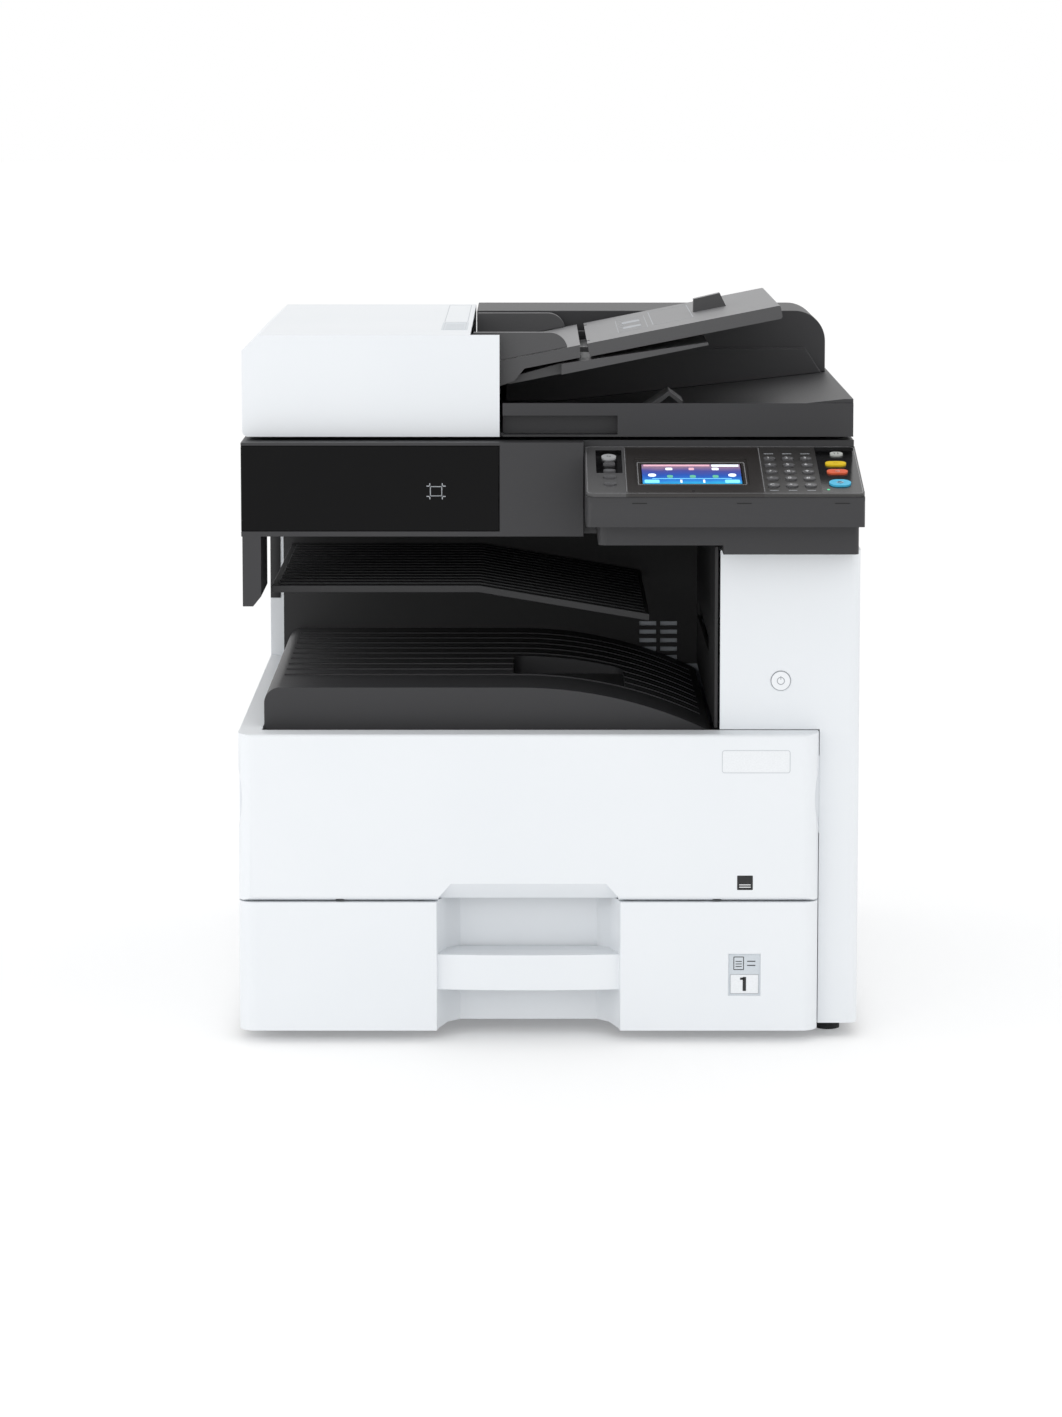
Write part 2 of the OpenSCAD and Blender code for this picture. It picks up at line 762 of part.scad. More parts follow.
// Plan of the handle bay; m widens it
module bay_plan(m) {
    w = bay_w / 2 + m;
    y = front_y + bay_depth + m;
    polygon([
        [bay_mid - w - 2, front_y - 1 - m], [bay_mid - w, front_y + 12], [bay_mid - w + 8, y - 12],
        [bay_mid - w + 20, y], [bay_mid + w - 20, y], [bay_mid + w - 8, y - 12],
        [bay_mid + w, front_y + 12], [bay_mid + w + 2, front_y - 1 - m]
    ]);
}

// Plan of the handle bar, bowed to the front; m shrinks it
module bar_plan(m) {
    bow = 900;
    intersection() {
        translate([bay_mid, front_y + 2 + bow + m]) circle(bow, $fn = 360);
        bay_plan(-m);
        rect([bay_mid - bay_w, front_y], [bay_mid + bay_w, front_y + bay_depth - wall - m]);
    }
}

module cassette_front() {
    back = front_y + bay_depth + wall;
    window = [side_x - 86, foot_h + 34];
    color("#f1f3f5") {
        difference() {
            union() {
                difference() {
                    along_z(foot_h, cassette_top) front_plan(0, column_y);
                    along_z(foot_h + wall, cassette_top - wall) front_plan(wall, column_y + 1);
                }
                along_z(foot_h, cassette_top) intersection() {
                    bay_plan(wall);
                    rect([left, front_y], [side_x, back]);
                }
            }
            along_z(foot_h - 1, cassette_top + 1) bay_plan(0);
            block([window[0], front_y - 1, window[1]], [window[0] + 31, front_y + 1.5, window[1] + 41]);
        }
        difference() {
            along_z(bar_z, bar_z + bar_h) intersection() {
                bar_plan(0);
                rect([left, front_y], [side_x, back]);
            }
            along_z(bar_z - 1, bar_z + bar_h - wall) bar_plan(wall);
        }
        for (x = [bay_mid - bay_w / 2 - 1, bay_mid + bay_w / 2 - 9])
            block([x, front_y + 14, bar_z], [x + 10, front_y + 20, bar_z + bar_h]);
    }
}

module cassette_tray() {
    y0 = front_y + bay_depth + wall;
    color("#35363a") difference() {
        union() {
            difference() {
                block([tray_l, y0, tray_z], [tray_r, cassette_back, tray_top]);
                block([tray_l + wall, y0 + wall, tray_z + wall],
                      [tray_r - wall, cassette_back - wall, tray_top + 1]);
            }
            for (y = [y0 + 20, cassette_back - 26])
                block([lift_axis[0] - 5, y, tray_z + 1], [lift_axis[0] + 5, y + 6, lift_axis[1] + 5]);
        }
        rod_y(y0 + 19, cassette_back - 19, lift_axis[0], lift_axis[1], lift_pin_r + run);
    }
}

module lift_plate() {
    y0 = front_y + bay_depth + wall;
    a = lift_axis;
    color("#a3a7ab") {
        block([a[0], y0 + 30, a[1] - 1.5], [tray_r - 12, cassette_back - 30, a[1] + 1.5]);
        block([a[0] + 8, y0 + 8, a[1] - 1.5], [tray_r - 12, y0 + 31, a[1] + 1.5]);
        block([a[0] + 8, cassette_back - 31, a[1] - 1.5], [tray_r - 12, cassette_back - 8, a[1] + 1.5]);
        rod_y(y0 + 20, cassette_back - 20, a[0], a[1], lift_pin_r);
    }
}

// ---- Engine bay ---------------------------------------------------------------------------

module toner_container() {
    x = left + 87;
    color("#26272b") {
        rod_y(frame_y + 10, cassette_back + 40, x, deck_top + bottle_r, bottle_r);
        rod_y(frame_y + 4, frame_y + 11, x, deck_top + bottle_r, bottle_r - 8);
    }
}

module drum() {
    color("#3b8f86") {
        rod_y(drum_y[0] + 4, drum_y[1] - 4, drum_x, drum_z, drum_r);
        rod_y(drum_y[0] - 8, drum_y[1] + 8, drum_x, drum_z, drum_shaft_r);
    }
}

// ---- Right door ---------------------------------------------------------------------------

module right_door() {
    z0 = door_z[0] + door_gap;
    z1 = door_z[1] - door_gap;
    a = door_axis;
    b = bypass_axis;
    color("#eef0f2") difference() {
        union() {
            along_z(z0, z1)
                round_rect([right - 8, door_y[0] + door_gap], [right, door_y[1] - door_gap], [0, 0, door_r, 0]);
            rod_z(z0 - 4.5, z1 + 4.5, a[0], a[1], door_pin_r);
        }
        block([right - bypass_t - fit, bypass_y[0] - fit, bypass_z[0] - fit],
              [right + 1, bypass_y[1] + fit, bypass_z[1] + fit]);
        rod_y(bypass_y[0] - 5, bypass_y[1] + 5, b[0], b[1], bypass_pin_r + run);
        block([right - 8 - 1, door_y[0] + 12, z0 + 4], [right - 5, door_y[1] - 14, bypass_z[0] - 4]);
        block([right - 8 - 1, door_y[0] + 12, bypass_z[1] + 4], [right - 5, door_y[1] - 14, z1 - 4]);
    }
}

module mp_tray() {
    b = bypass_axis;
    color("#f1f3f5") {
        difference() {
            along_y(bypass_y[0], bypass_y[1])
                round_rect([right - bypass_t, bypass_z[0]], [right, bypass_z[1]],
                           [bypass_t / 2, bypass_t / 2, 0, 0]);
            block([right - 1.5, -40, bypass_z[1] - 14], [right + 1, 40, bypass_z[1] + 1]);
        }
        rod_y(bypass_y[0] - 4, bypass_y[1] + 4, b[0], b[1], bypass_pin_r);
    }
}

// ---- Document feeder ----------------------------------------------------------------------

module hinge_brackets() {
    color("#2f3032") for (x = hinge_x) {
        block([x - 22, hinge_y - 16, scan_top], [x + 22, scanner_back - 2, scan_top + 3]);
        for (side = [-18, 14])
            along_x(x + side, x + side + 4)
                round_rect([hinge_y - 10, scan_top], [hinge_y + 10, hinge_z + 8], [0, 0, 6, 6]);
        rod_x(x - 18, x + 18, hinge_y, hinge_z, hinge_pin_r);
    }
}

// The eject table's outline
module eject_profile() {
    polygon([
        [split_x + 3, adf_bot], [adf_right, adf_bot], [adf_right, step_z],
        eject_r, eject_l, [split_x + 3, eject_l[1] - 0.8]
    ]);
}

// The hollow under its slope
module eject_hollow() {
    x0 = eject_l[0] + 40;
    x1 = adf_right - wall;
    polygon([
        [x0, adf_bot + wall], [x1, adf_bot + wall], [x1, step_z - wall],
        [eject_r[0], step_z - wall], [x0, eject_z(x0) - wall]
    ]);
}

module adf_base() {
    l = left + 2 * adf_r + 1.5;
    color("#3a3b3d") difference() {
        union() {
            // Front rim with its grip pocket, and the sloping eject table behind it
            difference() {
                union() {
                    along_y(adf_y + wall - 1, box_y + 1) eject_profile();
                    block([split_x + 3, adf_y, adf_bot], [adf_right, adf_y + wall, rim_z]);
                    block([split_x + 3, adf_y, adf_bot], [pocket_r + wall, adf_y + 20, rim_z - 9]);
                }
                difference() {
                    along_y(adf_y + wall, box_y - wall) eject_hollow();
                    block([split_x, adf_y, adf_bot], [pocket_r + wall, adf_y + 20, rim_z - 9]);
                }
                block([split_x + 2, adf_y - 1, adf_bot + 2], [pocket_r, adf_y + 17, rim_z - 12]);
                // The table is open below, to the right of the platen mat
                block([glass_x + glass_w + 12, adf_y + 24, adf_bot - 1],
                      [adf_right - 2 * wall, bench_y - wall, adf_bot + wall + 1]);
            }
            // Well under the rear cover
            difference() {
                block([split_x + 3, box_y, adf_bot], [adf_right, adf_back, step_z]);
                block([split_x + 3 + wall, box_y + wall, adf_bot + wall],
                      [adf_right - wall, adf_back - wall, step_z + 1]);
            }
            // Floor under the white cover, with the lugs of its hinge
            block([l, adf_y + 5, adf_bot], [split_x + 4, adf_back - 5, adf_bot + wall]);
            block([l + 20, adf_back - 8, adf_bot], [split_x + 4, adf_back - 5, step_z]);
            for (y = adf_lugs) adf_lug(y, l);
            for (x = hinge_x) adf_knuckle(x);
            for (y = [stop_y[0] - 3, stop_y[1] + 3]) stop_ear(y);
        }
        rod_y(stop_y[0] - 7, stop_y[1] + 7, stop_axis[0], stop_axis[1], stop_pin_r + run);
        for (x = hinge_x) rod_x(x - 14, x + 14, hinge_y, hinge_z, hinge_pin_r + run);
        // The original crosses the slit glass here
        block([l + 8, glass_y, adf_bot - 1], [l + 20, glass_y + glass_d, adf_bot + wall + 1]);
    }
}

module adf_lug(y, l) {
    a = adf_axis;
    difference() {
        union() {
            rod_y(y - 2, y + 2, a[0], a[1], adf_lug_r);
            block([a[0], y - 2, a[1] - 1.5], [l + 6, y + 2, a[1] + 1.5]);
            block([l + 1, y - 2, adf_bot + 1], [l + 6, y + 2, a[1] + 1]);
        }
        rod_y(y - 3, y + 3, a[0], a[1], adf_pin_r + run);
    }
}

module adf_knuckle(x) {
    rod_x(x - 13, x + 13, hinge_y, hinge_z, hinge_r);
    block([x - 13, adf_back - 6, hinge_z - 5], [x + 13, hinge_y, hinge_z + 5]);
}

// Puts the slope shared by the entry table and the document tray at z = 0, from x and z given
module on_slope(x, z) {
    translate([x, 0, z]) rotate([0, -tray_slope, 0]) children();
}

// Where the document tray's hinge line runs
doc_axis = [doc_x + doc_hinge[0] * cos(tray_slope) - doc_hinge[1] * sin(tray_slope),
            doc_z + doc_hinge[0] * sin(tray_slope) + doc_hinge[1] * cos(tray_slope)];

module adf_feeder() {
    l = feed_x - 40;
    run_l = (entry_r - entry_l) / cos(tray_slope);
    floor_z = adf_bot + wall;
    color("#333436") difference() {
        union() {
            // Entry table, its nose and the guide blade under it
            intersection() {
                on_slope(entry_l, entry_z) translate([-60, table_y, -entry_t])
                    cube([run_l + 60, table_back - table_y, entry_t]);
                block([l, table_y - 1, adf_bot], [entry_r, table_back + 1, adf_top - 4]);
            }
            along_y(table_y, table_back) polygon([
                [l, entry_z - 25], [entry_l - 2, entry_z - 25], [entry_l + 12, entry_z - 20],
                [entry_l + 22, entry_z - 8], [entry_l + 22, entry_z - 3], [l, entry_z - 15]
            ]);
            along_y(table_y + 14, table_back - 12) guide_blade();
            intersection() {
                along_y(table_y, table_y + 15) guide_blade();
                block([entry_l + 58, table_y - 1, adf_bot], [doc_x + 120, table_y + 16, adf_top]);
            }
            // Side plates of the feed unit and the plate across them
            for (y = [table_y, table_back - 4])
                block([l, y, floor_z], [split_x - 6, y + 4, entry_z - 10]);
            block([l, table_y, floor_z], [l + 4, table_back, entry_z - 12]);
            for (y = feed_y)
                block([feed_x - 9, y - 3, entry_z - 30], [feed_x + 9, y + 3, feed_z + 8]);
            for (y = doc_lugs) doc_lug(y);
        }
        for (y = feed_y) rod_y(y - 4, y + 4, feed_x, feed_z, feed_shaft_r + run);
        for (y = doc_lugs) rod_y(y - 4, y + 4, doc_axis[0], doc_axis[1], doc_pin_r + run);
    }
}

// Side view of the thin guide between the entry table and the eject table
module guide_blade() {
    polygon([
        [entry_l + 4, entry_z - 23], [entry_l + 8, entry_z - 24], [doc_x + 118, entry_z + 15],
        [doc_x + 117, entry_z + 17.3], [entry_l + 60, entry_z - 3], [entry_l + 10, entry_z - 17]
    ]);
}

module doc_lug(y) {
    rod_y(y - 3, y + 3, doc_axis[0], doc_axis[1], doc_lug_r);
    block([entry_r - 2, y - 3, doc_axis[1] - 4], [doc_axis[0], y + 3, doc_axis[1] + 1]);
}

module adf_feed_roller() {
    color("#202022") {
        rod_y(feed_y[0] - 8, feed_y[1] + 8, feed_x, feed_z, feed_shaft_r);
        for (t = [0.25, 0.5, 0.75]) {
            y = feed_y[0] + t * (feed_y[1] - feed_y[0]);
            rod_y(y - 15, y + 15, feed_x, feed_z, feed_r);
        }
    }
}

// A width guide on the entry table: a fence with a round end
module guide(y) {
    x0 = top_x + 3;
    x1 = entry_r - 12;
    z1 = box_top - 1;
    color("#3a3b3d") along_y(y, y + guide_t) difference() {
        round_rect([x0, entry_z - 30], [x1, z1], [0, 0, 18, 0]);
        polygon([[x0 - 1, entry_z + (x0 - 1 - entry_l) * tan(tray_slope) + fit],
                 [x1 + 1, entry_z + (x1 + 1 - entry_l) * tan(tray_slope) + fit],
                 [x1 + 1, entry_z - 40], [x0 - 1, entry_z - 40]]);
    }
}

module tray_guide_front() {
    guide(table_y + 0.5);
}

module tray_guide_rear() {
    guide(table_back - 0.5 - guide_t);
}

module adf_tray() {
    h = doc_hinge;
    mid = (table_y + table_back) / 2;
    color("#454648") on_slope(doc_x, doc_z) difference() {
        union() {
            difference() {
                along_y(table_y, table_back)
                    round_rect([0, -doc_t], [doc_l, 0], [0, 3, 2, 0]);
                block([wall, table_y + wall, -doc_t - 1], [doc_l - wall, table_back - wall, -wall]);
            }
            along_y(mid - 10, mid + 4) polygon([[110, -1], [144, -1], [140, 14], [113, 13]]);
            for (y = doc_lugs) {
                for (side = [-8, 5])
                    block([1, y + side, -doc_t + 0.5], [h[0] + 4, y + side + 3, -1]);
                rod_y(y - 8, y + 8, h[0], h[1], doc_pin_r);
            }
        }
        for (y = doc_lugs)
            block([-1, y - 4, -doc_t - 1], [h[0] - 3, y + 4, 1]);
    }
}

// Height of the eject table's surface
function eject_z(x) = eject_l[1] + (x - eject_l[0]) * eject_rise;

// A wedge that stands on the eject table to stop the sheets and folds down to the right
module original_stopper() {
    z = eject_z(stop_x - 26) + fit + 0.4;
    color("#414244") {
        along_y(stop_y[0], stop_y[1]) polygon([
            [stop_x - 26, z], [stop_x - 21, z + 0.6], [stop_x + 1, z + 18.5], [stop_x + 12, z + 10],
            [stop_x + 15, z + 12.5], [stop_x + 1, z + 23], [stop_x - 26, z + 5]
        ]);
        rod_y(stop_y[0] - 6, stop_y[1] + 6, stop_axis[0], stop_axis[1], stop_pin_r);
    }
}

// The ears on the eject table that hold the stopper's pin
module stop_ear(y) {
    block([stop_axis[0] - 3.5, y - 2, eject_z(stop_axis[0]) - 2],
          [stop_axis[0] + 3.5, y + 2, stop_axis[1] + 3]);
}

module adf_rear_cover() {
    x0 = top_x + 2.5;
    x1 = adf_right - 4;
    color("#38393b") {
        difference() {
            along_y(box_y, adf_back)
                round_rect([x0, step_z], [x1, box_top], [0, 0, 32, 0]);
            along_y(box_y + wall, adf_back - wall)
                round_rect([x0 + wall, step_z - 1], [x1 - wall, box_top - wall], [0, 0, 29, 0]);
        }
        along_y(bench_y, box_y) polygon([
            [split_x + 4, eject_l[1]], [eject_l[0], eject_l[1]], [eject_r[0], eject_r[1]],
            [eject_r[0] - 16, step_z + 25], [x0, step_z + 25], [x0, step_z], [split_x + 4, step_z]
        ]);
        block([x0, box_y - 1, step_z], [eject_r[0] - 16, box_y + 1, step_z + 25]);
    }
}

module adf_cover() {
    a = adf_axis;
    color("#f1f3f5") difference() {
        union() {
            // Front end, which reaches further right than the top
            along_y(adf_y, adf_y + wall) cover_end(split_x);
            along_y(adf_back - wall, adf_back) cover_end(top_x);
            // Left side, chamfer and top
            along_y(adf_y, adf_back) difference() {
                cover_end(top_x);
                translate([wall, 0]) cover_end_inner();
            }
            for (s = [[adf_y + 1, adf_lugs[0] + 4], [adf_lugs[1] - 4, adf_back - 1]])
                rod_y(s[0], s[1], a[0], a[1], adf_pin_r);
        }
        for (y = adf_lugs)
            block([left - 1, y - 3, adf_bot - 1], [a[0] - 3 + adf_r, y + 3, a[1] - adf_pin_r - 0.4]);
        // Room for the hinge arm, open below
        block([hinge_x[0] - 15, adf_back - 5, adf_bot - 1], [hinge_x[0] + 15, adf_back + 1, hinge_z + 7]);
    }
}

// End view of the white cover, out to x1
module cover_end(x1) {
    difference() {
        round_rect([left, adf_bot], [x1, adf_top], [adf_r, 0, 0, 0]);
        polygon([[left - 1, adf_top - chamfer[1] - 1], [left + chamfer[0] + 1, adf_top + 1],
                 [left - 1, adf_top + 1]]);
    }
}

// What the white cover leaves open inside
module cover_end_inner() {
    c = [chamfer[0] - 1.5, chamfer[1] - 1.5];
    difference() {
        round_rect([left, adf_bot + wall], [top_x + 5, adf_top - wall], [adf_r - wall, 0, 0, 0]);
        polygon([[left - 1, adf_top - wall - c[1] - 1], [left + c[0] + 1, adf_top - wall + 1],
                 [left - 1, adf_top - wall + 1]]);
    }
    rect([left + adf_r - wall, adf_bot - 1], [top_x + 5, adf_bot + wall + 1]);
}

module platen_mat() {
    color("#f4f4f0")
        block([glass_x, glass_y, scan_top + fit], [glass_x + glass_w, glass_y + glass_d, adf_bot]);
}

// ---- The pieces ---------------------------------------------------------------------------

main_frame();
feet();
left_cover();
rear_cover();
right_cover();
inner_cover();
output_tray();
job_tray();
exit_rollers();
scanner_housing();
scanner_front_panel();
platen_glass();
scan_carriage();
panel_housing();
panel_fascia();
lcd_screen();
power_button();
hinge_brackets();
adf_base();
adf_feeder();
adf_rear_cover();
adf_cover();
adf_feed_roller();
adf_tray();
tray_guide_front();
tray_guide_rear();
original_stopper();
platen_mat();
front_cover();
toner_container();
drum();
cassette_tray();
cassette_front();
lift_plate();
right_door();
mp_tray();
for (k = KEYS)
    key(k);
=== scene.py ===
"""A desktop office photocopier with an automatic document feeder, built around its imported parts.

Sizes are in millimetres unless a comment says otherwise."""

import json
import math

import bpy
from mathutils import Matrix, Vector


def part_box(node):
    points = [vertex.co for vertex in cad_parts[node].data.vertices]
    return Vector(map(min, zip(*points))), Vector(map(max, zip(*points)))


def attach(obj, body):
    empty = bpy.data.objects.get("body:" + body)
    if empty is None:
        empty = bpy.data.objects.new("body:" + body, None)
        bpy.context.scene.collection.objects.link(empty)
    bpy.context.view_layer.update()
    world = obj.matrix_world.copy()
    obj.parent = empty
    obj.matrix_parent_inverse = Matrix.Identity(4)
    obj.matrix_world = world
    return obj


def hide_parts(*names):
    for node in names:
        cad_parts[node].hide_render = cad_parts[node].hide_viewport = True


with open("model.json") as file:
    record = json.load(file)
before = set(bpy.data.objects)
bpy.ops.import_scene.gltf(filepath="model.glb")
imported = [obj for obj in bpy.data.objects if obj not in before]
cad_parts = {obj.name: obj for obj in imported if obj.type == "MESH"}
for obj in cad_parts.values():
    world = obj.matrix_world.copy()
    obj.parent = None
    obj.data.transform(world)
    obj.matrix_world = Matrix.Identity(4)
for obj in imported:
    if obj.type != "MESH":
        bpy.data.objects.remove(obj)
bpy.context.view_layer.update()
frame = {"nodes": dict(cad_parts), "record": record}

MM = 0.001                 # a millimetre, in Blender's metres
NODES = frame["nodes"]
BODY_OF = {n: b for b, members in frame["record"]["behaviour"]["bodies"].items() for n in members}
SLOT_OF = {s["node"]: s["material_slot"] for s in frame["record"]["subparts"]}


# ---- Camera and light -----------------------------------------------------------------------

SENSOR = 36.0                           # along the render's long side
IMAGE_LONG = 1417                       # the render's long side, in its own units
FOCAL = 4149                            # focal length, in the same units
SHIFT_UP = -0.13                        # the lens's shift, as a share of the long side
PITCH = math.radians(6.592)             # how far the camera looks down
EYE = Vector((-0.0176, -4.207, 0.951))  # metres


def make_camera():
    data = bpy.data.cameras.new("camera")
    data.sensor_width = SENSOR
    data.lens = FOCAL / IMAGE_LONG * SENSOR
    data.shift_y = SHIFT_UP
    data.clip_start, data.clip_end = 0.05, 100
    camera = bpy.data.objects.new("camera", data)
    camera.location = EYE
    camera.rotation_euler = (math.pi / 2 - PITCH, 0, 0)
    bpy.context.scene.collection.objects.link(camera)
    bpy.context.scene.camera = camera


def area_light(name, place, target, size, watts):
    """A white rectangular light that faces its target; all in metres."""
    data = bpy.data.lights.new(name, "AREA")
    data.shape = "RECTANGLE"
    data.size, data.size_y = size
    data.energy = watts
    lamp = bpy.data.objects.new(name, data)
    lamp.location = place
    lamp.rotation_euler = (Vector(target) - Vector(place)).to_track_quat("-Z", "Y").to_euler()
    bpy.context.scene.collection.objects.link(lamp)


def linear(hex_colour):
    """An sRGB hex colour as linear red, green, blue and an alpha of 1."""
    parts = [int(hex_colour[i:i + 2], 16) / 255 for i in (1, 3, 5)]
    return tuple(c / 12.92 if c <= 0.04045 else ((c + 0.055) / 1.055) ** 2.4 for c in parts) + (1.0,)


# ---- Materials ------------------------------------------------------------------------------

DRIFT = 220     # length over which a moulding's tone drifts
HAZE = 30       # length over which the display's bands waver
BLOTS = 1.5     # width of the unevenness in a print
SMEARS = 45     # width of a hand's smears on glass


def add(tree, kind, settings=None, **sockets):
    """Adds one node. A socket's name has _ for a space; its value is a number, a colour or an output."""
    made = tree.nodes.new(kind)
    for name, value in (settings or {}).items():
        setattr(made, name, value)
    for name, value in sockets.items():
        socket = made.inputs[int(name[1:])] if name[1:].isdigit() else made.inputs[name.replace("_", " ")]
        if isinstance(value, bpy.types.NodeSocket):
            tree.links.new(value, socket)
        else:
            socket.default_value = value
    return made


def new_material(name, **surface):
    """An empty material with one surface shader, whose constants are set on its own sockets."""
    made = bpy.data.materials.new(name)
    made.use_nodes = True
    tree = made.node_tree
    tree.nodes.clear()
    shader = add(tree, "ShaderNodeBsdfPrincipled", **surface)
    add(tree, "ShaderNodeOutputMaterial", Surface=shader.outputs["BSDF"])
    return made, tree, shader


def moulded(name, light, dark, rough, grain, depth, ior=1.53, **surface):
    """Injection-moulded plastic: a spark-eroded grain, given in mm, and a slow drift between two tones."""
    made, tree, shader = new_material(name, IOR=ior, **surface)
    place = add(tree, "ShaderNodeTexCoord").outputs["Object"]
    drift = add(tree, "ShaderNodeTexNoise", Vector=place, Scale=1 / (DRIFT * MM), Detail=2.0)
    tone = add(tree, "ShaderNodeMix", {"data_type": "RGBA"}, Factor=drift.outputs["Fac"],
               _6=linear(dark), _7=linear(light))
    pits = add(tree, "ShaderNodeTexNoise", Vector=place, Scale=1 / (grain * MM), Detail=3.0, Roughness=0.6)
    gloss = add(tree, "ShaderNodeMapRange", Value=pits.outputs["Fac"],
                To_Min=rough - 0.05, To_Max=rough + 0.07)
    bump = add(tree, "ShaderNodeBump", Height=pits.outputs["Fac"], Strength=1.0, Distance=depth * MM)
    tree.links.new(tone.outputs[2], shader.inputs["Base Color"])
    tree.links.new(gloss.outputs["Result"], shader.inputs["Roughness"])
    tree.links.new(bump.outputs["Normal"], shader.inputs["Normal"])
    return made


def inside(tree, value, low, high):
    """1 where a coordinate lies between two values in mm, and 0 elsewhere."""
    mid, half = (low + high) / 2 * MM, (high - low) / 2 * MM
    return add(tree, "ShaderNodeMath", {"operation": "COMPARE"}, _0=value, _1=mid, _2=half).outputs[0]


def panel_plastic():
    """The control panel's face: satin ABS, with its fields printed darker, lighter or in gloss black."""
    made = moulded("abs_panel_satin", "#353433", "#2f2e2e", 0.36, 1.0, 0.01)
    tree = made.node_tree
    shader = tree.nodes["Principled BSDF"]
    place = next(n for n in tree.nodes if n.type == "TEX_COORD").outputs["Object"]
    split = add(tree, "ShaderNodeSeparateXYZ", Vector=place).outputs
    colour = shader.inputs["Base Color"].links[0].from_socket
    rough = shader.inputs["Roughness"].links[0].from_socket
    fields = (  # low X, high X, low Y, high Y, colour, roughness
        (30, 71.5, -360, -200, "#4b4b4c", 0.4),       # home key and menu keys
        (44.5, 69.5, -285, -221, "#0c0c0d", 0.14),    # gloss inset from the home key down
        (73.5, 201, -360, -200, "#2a2726", 0.3),      # display
        (256, 300, -338, -200, "#0e0e0f", 0.14),      # gloss inset round the function keys
    )
    for x0, x1, y0, y1, tone, gloss in fields:
        mask = add(tree, "ShaderNodeMath", {"operation": "MULTIPLY"}, _0=inside(tree, split["X"], x0, x1),
                   _1=inside(tree, split["Y"], y0, y1)).outputs[0]
        colour = add(tree, "ShaderNodeMix", {"data_type": "RGBA"}, Factor=mask, _6=colour,
                     _7=linear(tone)).outputs[2]
        rough = add(tree, "ShaderNodeMix", {"data_type": "FLOAT"}, Factor=mask,
                    _2=rough, _3=gloss).outputs[0]
    tree.links.new(colour, shader.inputs["Base Color"])
    tree.links.new(rough, shader.inputs["Roughness"])
    return made


def display_picture(low, high):
    """A backlit picture of plain colour bands: cyan at the low height, through blue, to mauve at the high."""
    made, tree, shader = new_material("lcd_backlit_picture", Roughness=0.12, Emission_Strength=0.3)
    place = add(tree, "ShaderNodeTexCoord").outputs["Object"]
    height = add(tree, "ShaderNodeSeparateXYZ", Vector=place).outputs["Z"]
    share = add(tree, "ShaderNodeMapRange", Value=height,
                From_Min=low * MM, From_Max=high * MM).outputs["Result"]
    haze = add(tree, "ShaderNodeTexNoise", Vector=place, Scale=1 / (HAZE * MM)).outputs["Fac"]
    drifted = add(tree, "ShaderNodeMath", {"operation": "MULTIPLY_ADD"},
                  _0=haze, _1=0.25, _2=share).outputs[0]
    bands = add(tree, "ShaderNodeValToRGB", Fac=drifted)
    tones = ((0.1, "#35b9e6"), (0.3, "#2f7fd4"), (0.55, "#2a56b4"), (0.8, "#4b4f9c"), (1.0, "#8f7590"))
    for place_at, tone in tones[1:-1]:
        bands.color_ramp.elements.new(place_at)
    for element, (place_at, tone) in zip(bands.color_ramp.elements, tones):
        element.position, element.color = place_at, linear(tone)
    tree.links.new(bands.outputs["Color"], shader.inputs["Base Color"])
    tree.links.new(bands.outputs["Color"], shader.inputs["Emission Color"])
    return made


def printed(name, tone, rough=0.45, glow=0.0):
    """A printed ink or a film, slightly uneven; glow lights it from behind."""
    made, tree, shader = new_material(name, Emission_Strength=glow)
    place = add(tree, "ShaderNodeTexCoord").outputs["Object"]
    blots = add(tree, "ShaderNodeTexNoise", Vector=place, Scale=1 / (BLOTS * MM), Detail=2.0).outputs["Fac"]
    worn = tuple(0.86 * c for c in linear(tone)[:3]) + (1.0,)
    ink = add(tree, "ShaderNodeMix", {"data_type": "RGBA"}, Factor=blots,
              _6=linear(tone), _7=worn).outputs[2]
    gloss = add(tree, "ShaderNodeMapRange", Value=blots, To_Min=rough - 0.04, To_Max=rough + 0.06)
    tree.links.new(ink, shader.inputs["Base Color"])
    tree.links.new(gloss.outputs["Result"], shader.inputs["Roughness"])
    if glow:
        tree.links.new(ink, shader.inputs["Emission Color"])
    return made


def glass(name):
    """Float glass: clear, and smeared a little by hands."""
    made, tree, shader = new_material(name, IOR=1.52, Transmission_Weight=0.92)
    place = add(tree, "ShaderNodeTexCoord").outputs["Object"]
    smears = add(tree, "ShaderNodeTexNoise", Vector=place, Scale=1 / (SMEARS * MM), Detail=1.0).outputs["Fac"]
    tone = add(tree, "ShaderNodeMix", {"data_type": "RGBA"}, Factor=smears,
               _6=linear("#dfeeee"), _7=linear("#d6e8e8"))
    gloss = add(tree, "ShaderNodeMapRange", Value=smears, To_Min=0.01, To_Max=0.06)
    tree.links.new(tone.outputs[2], shader.inputs["Base Color"])
    tree.links.new(gloss.outputs["Result"], shader.inputs["Roughness"])
    return made


def painted_light_above(made, tone):
    """Paints a lighter tone onto a finish where it faces up: painted light, so that a tray's ribs read in the
    scanner's shade.
    """
    tree = made.node_tree
    shader = tree.nodes["Principled BSDF"]
    normal = add(tree, "ShaderNodeNewGeometry").outputs["Normal"]
    facing = add(tree, "ShaderNodeSeparateXYZ", Vector=normal)
    share = add(tree, "ShaderNodeMapRange", Value=facing.outputs["Z"],
                From_Min=0.25, From_Max=0.9).outputs["Result"]
    plain = shader.inputs["Base Color"].links[0].from_socket
    mixed = add(tree, "ShaderNodeMix", {"data_type": "RGBA"}, Factor=share, _6=plain, _7=linear(tone))
    tree.links.new(mixed.outputs[2], shader.inputs["Base Color"])
    return made


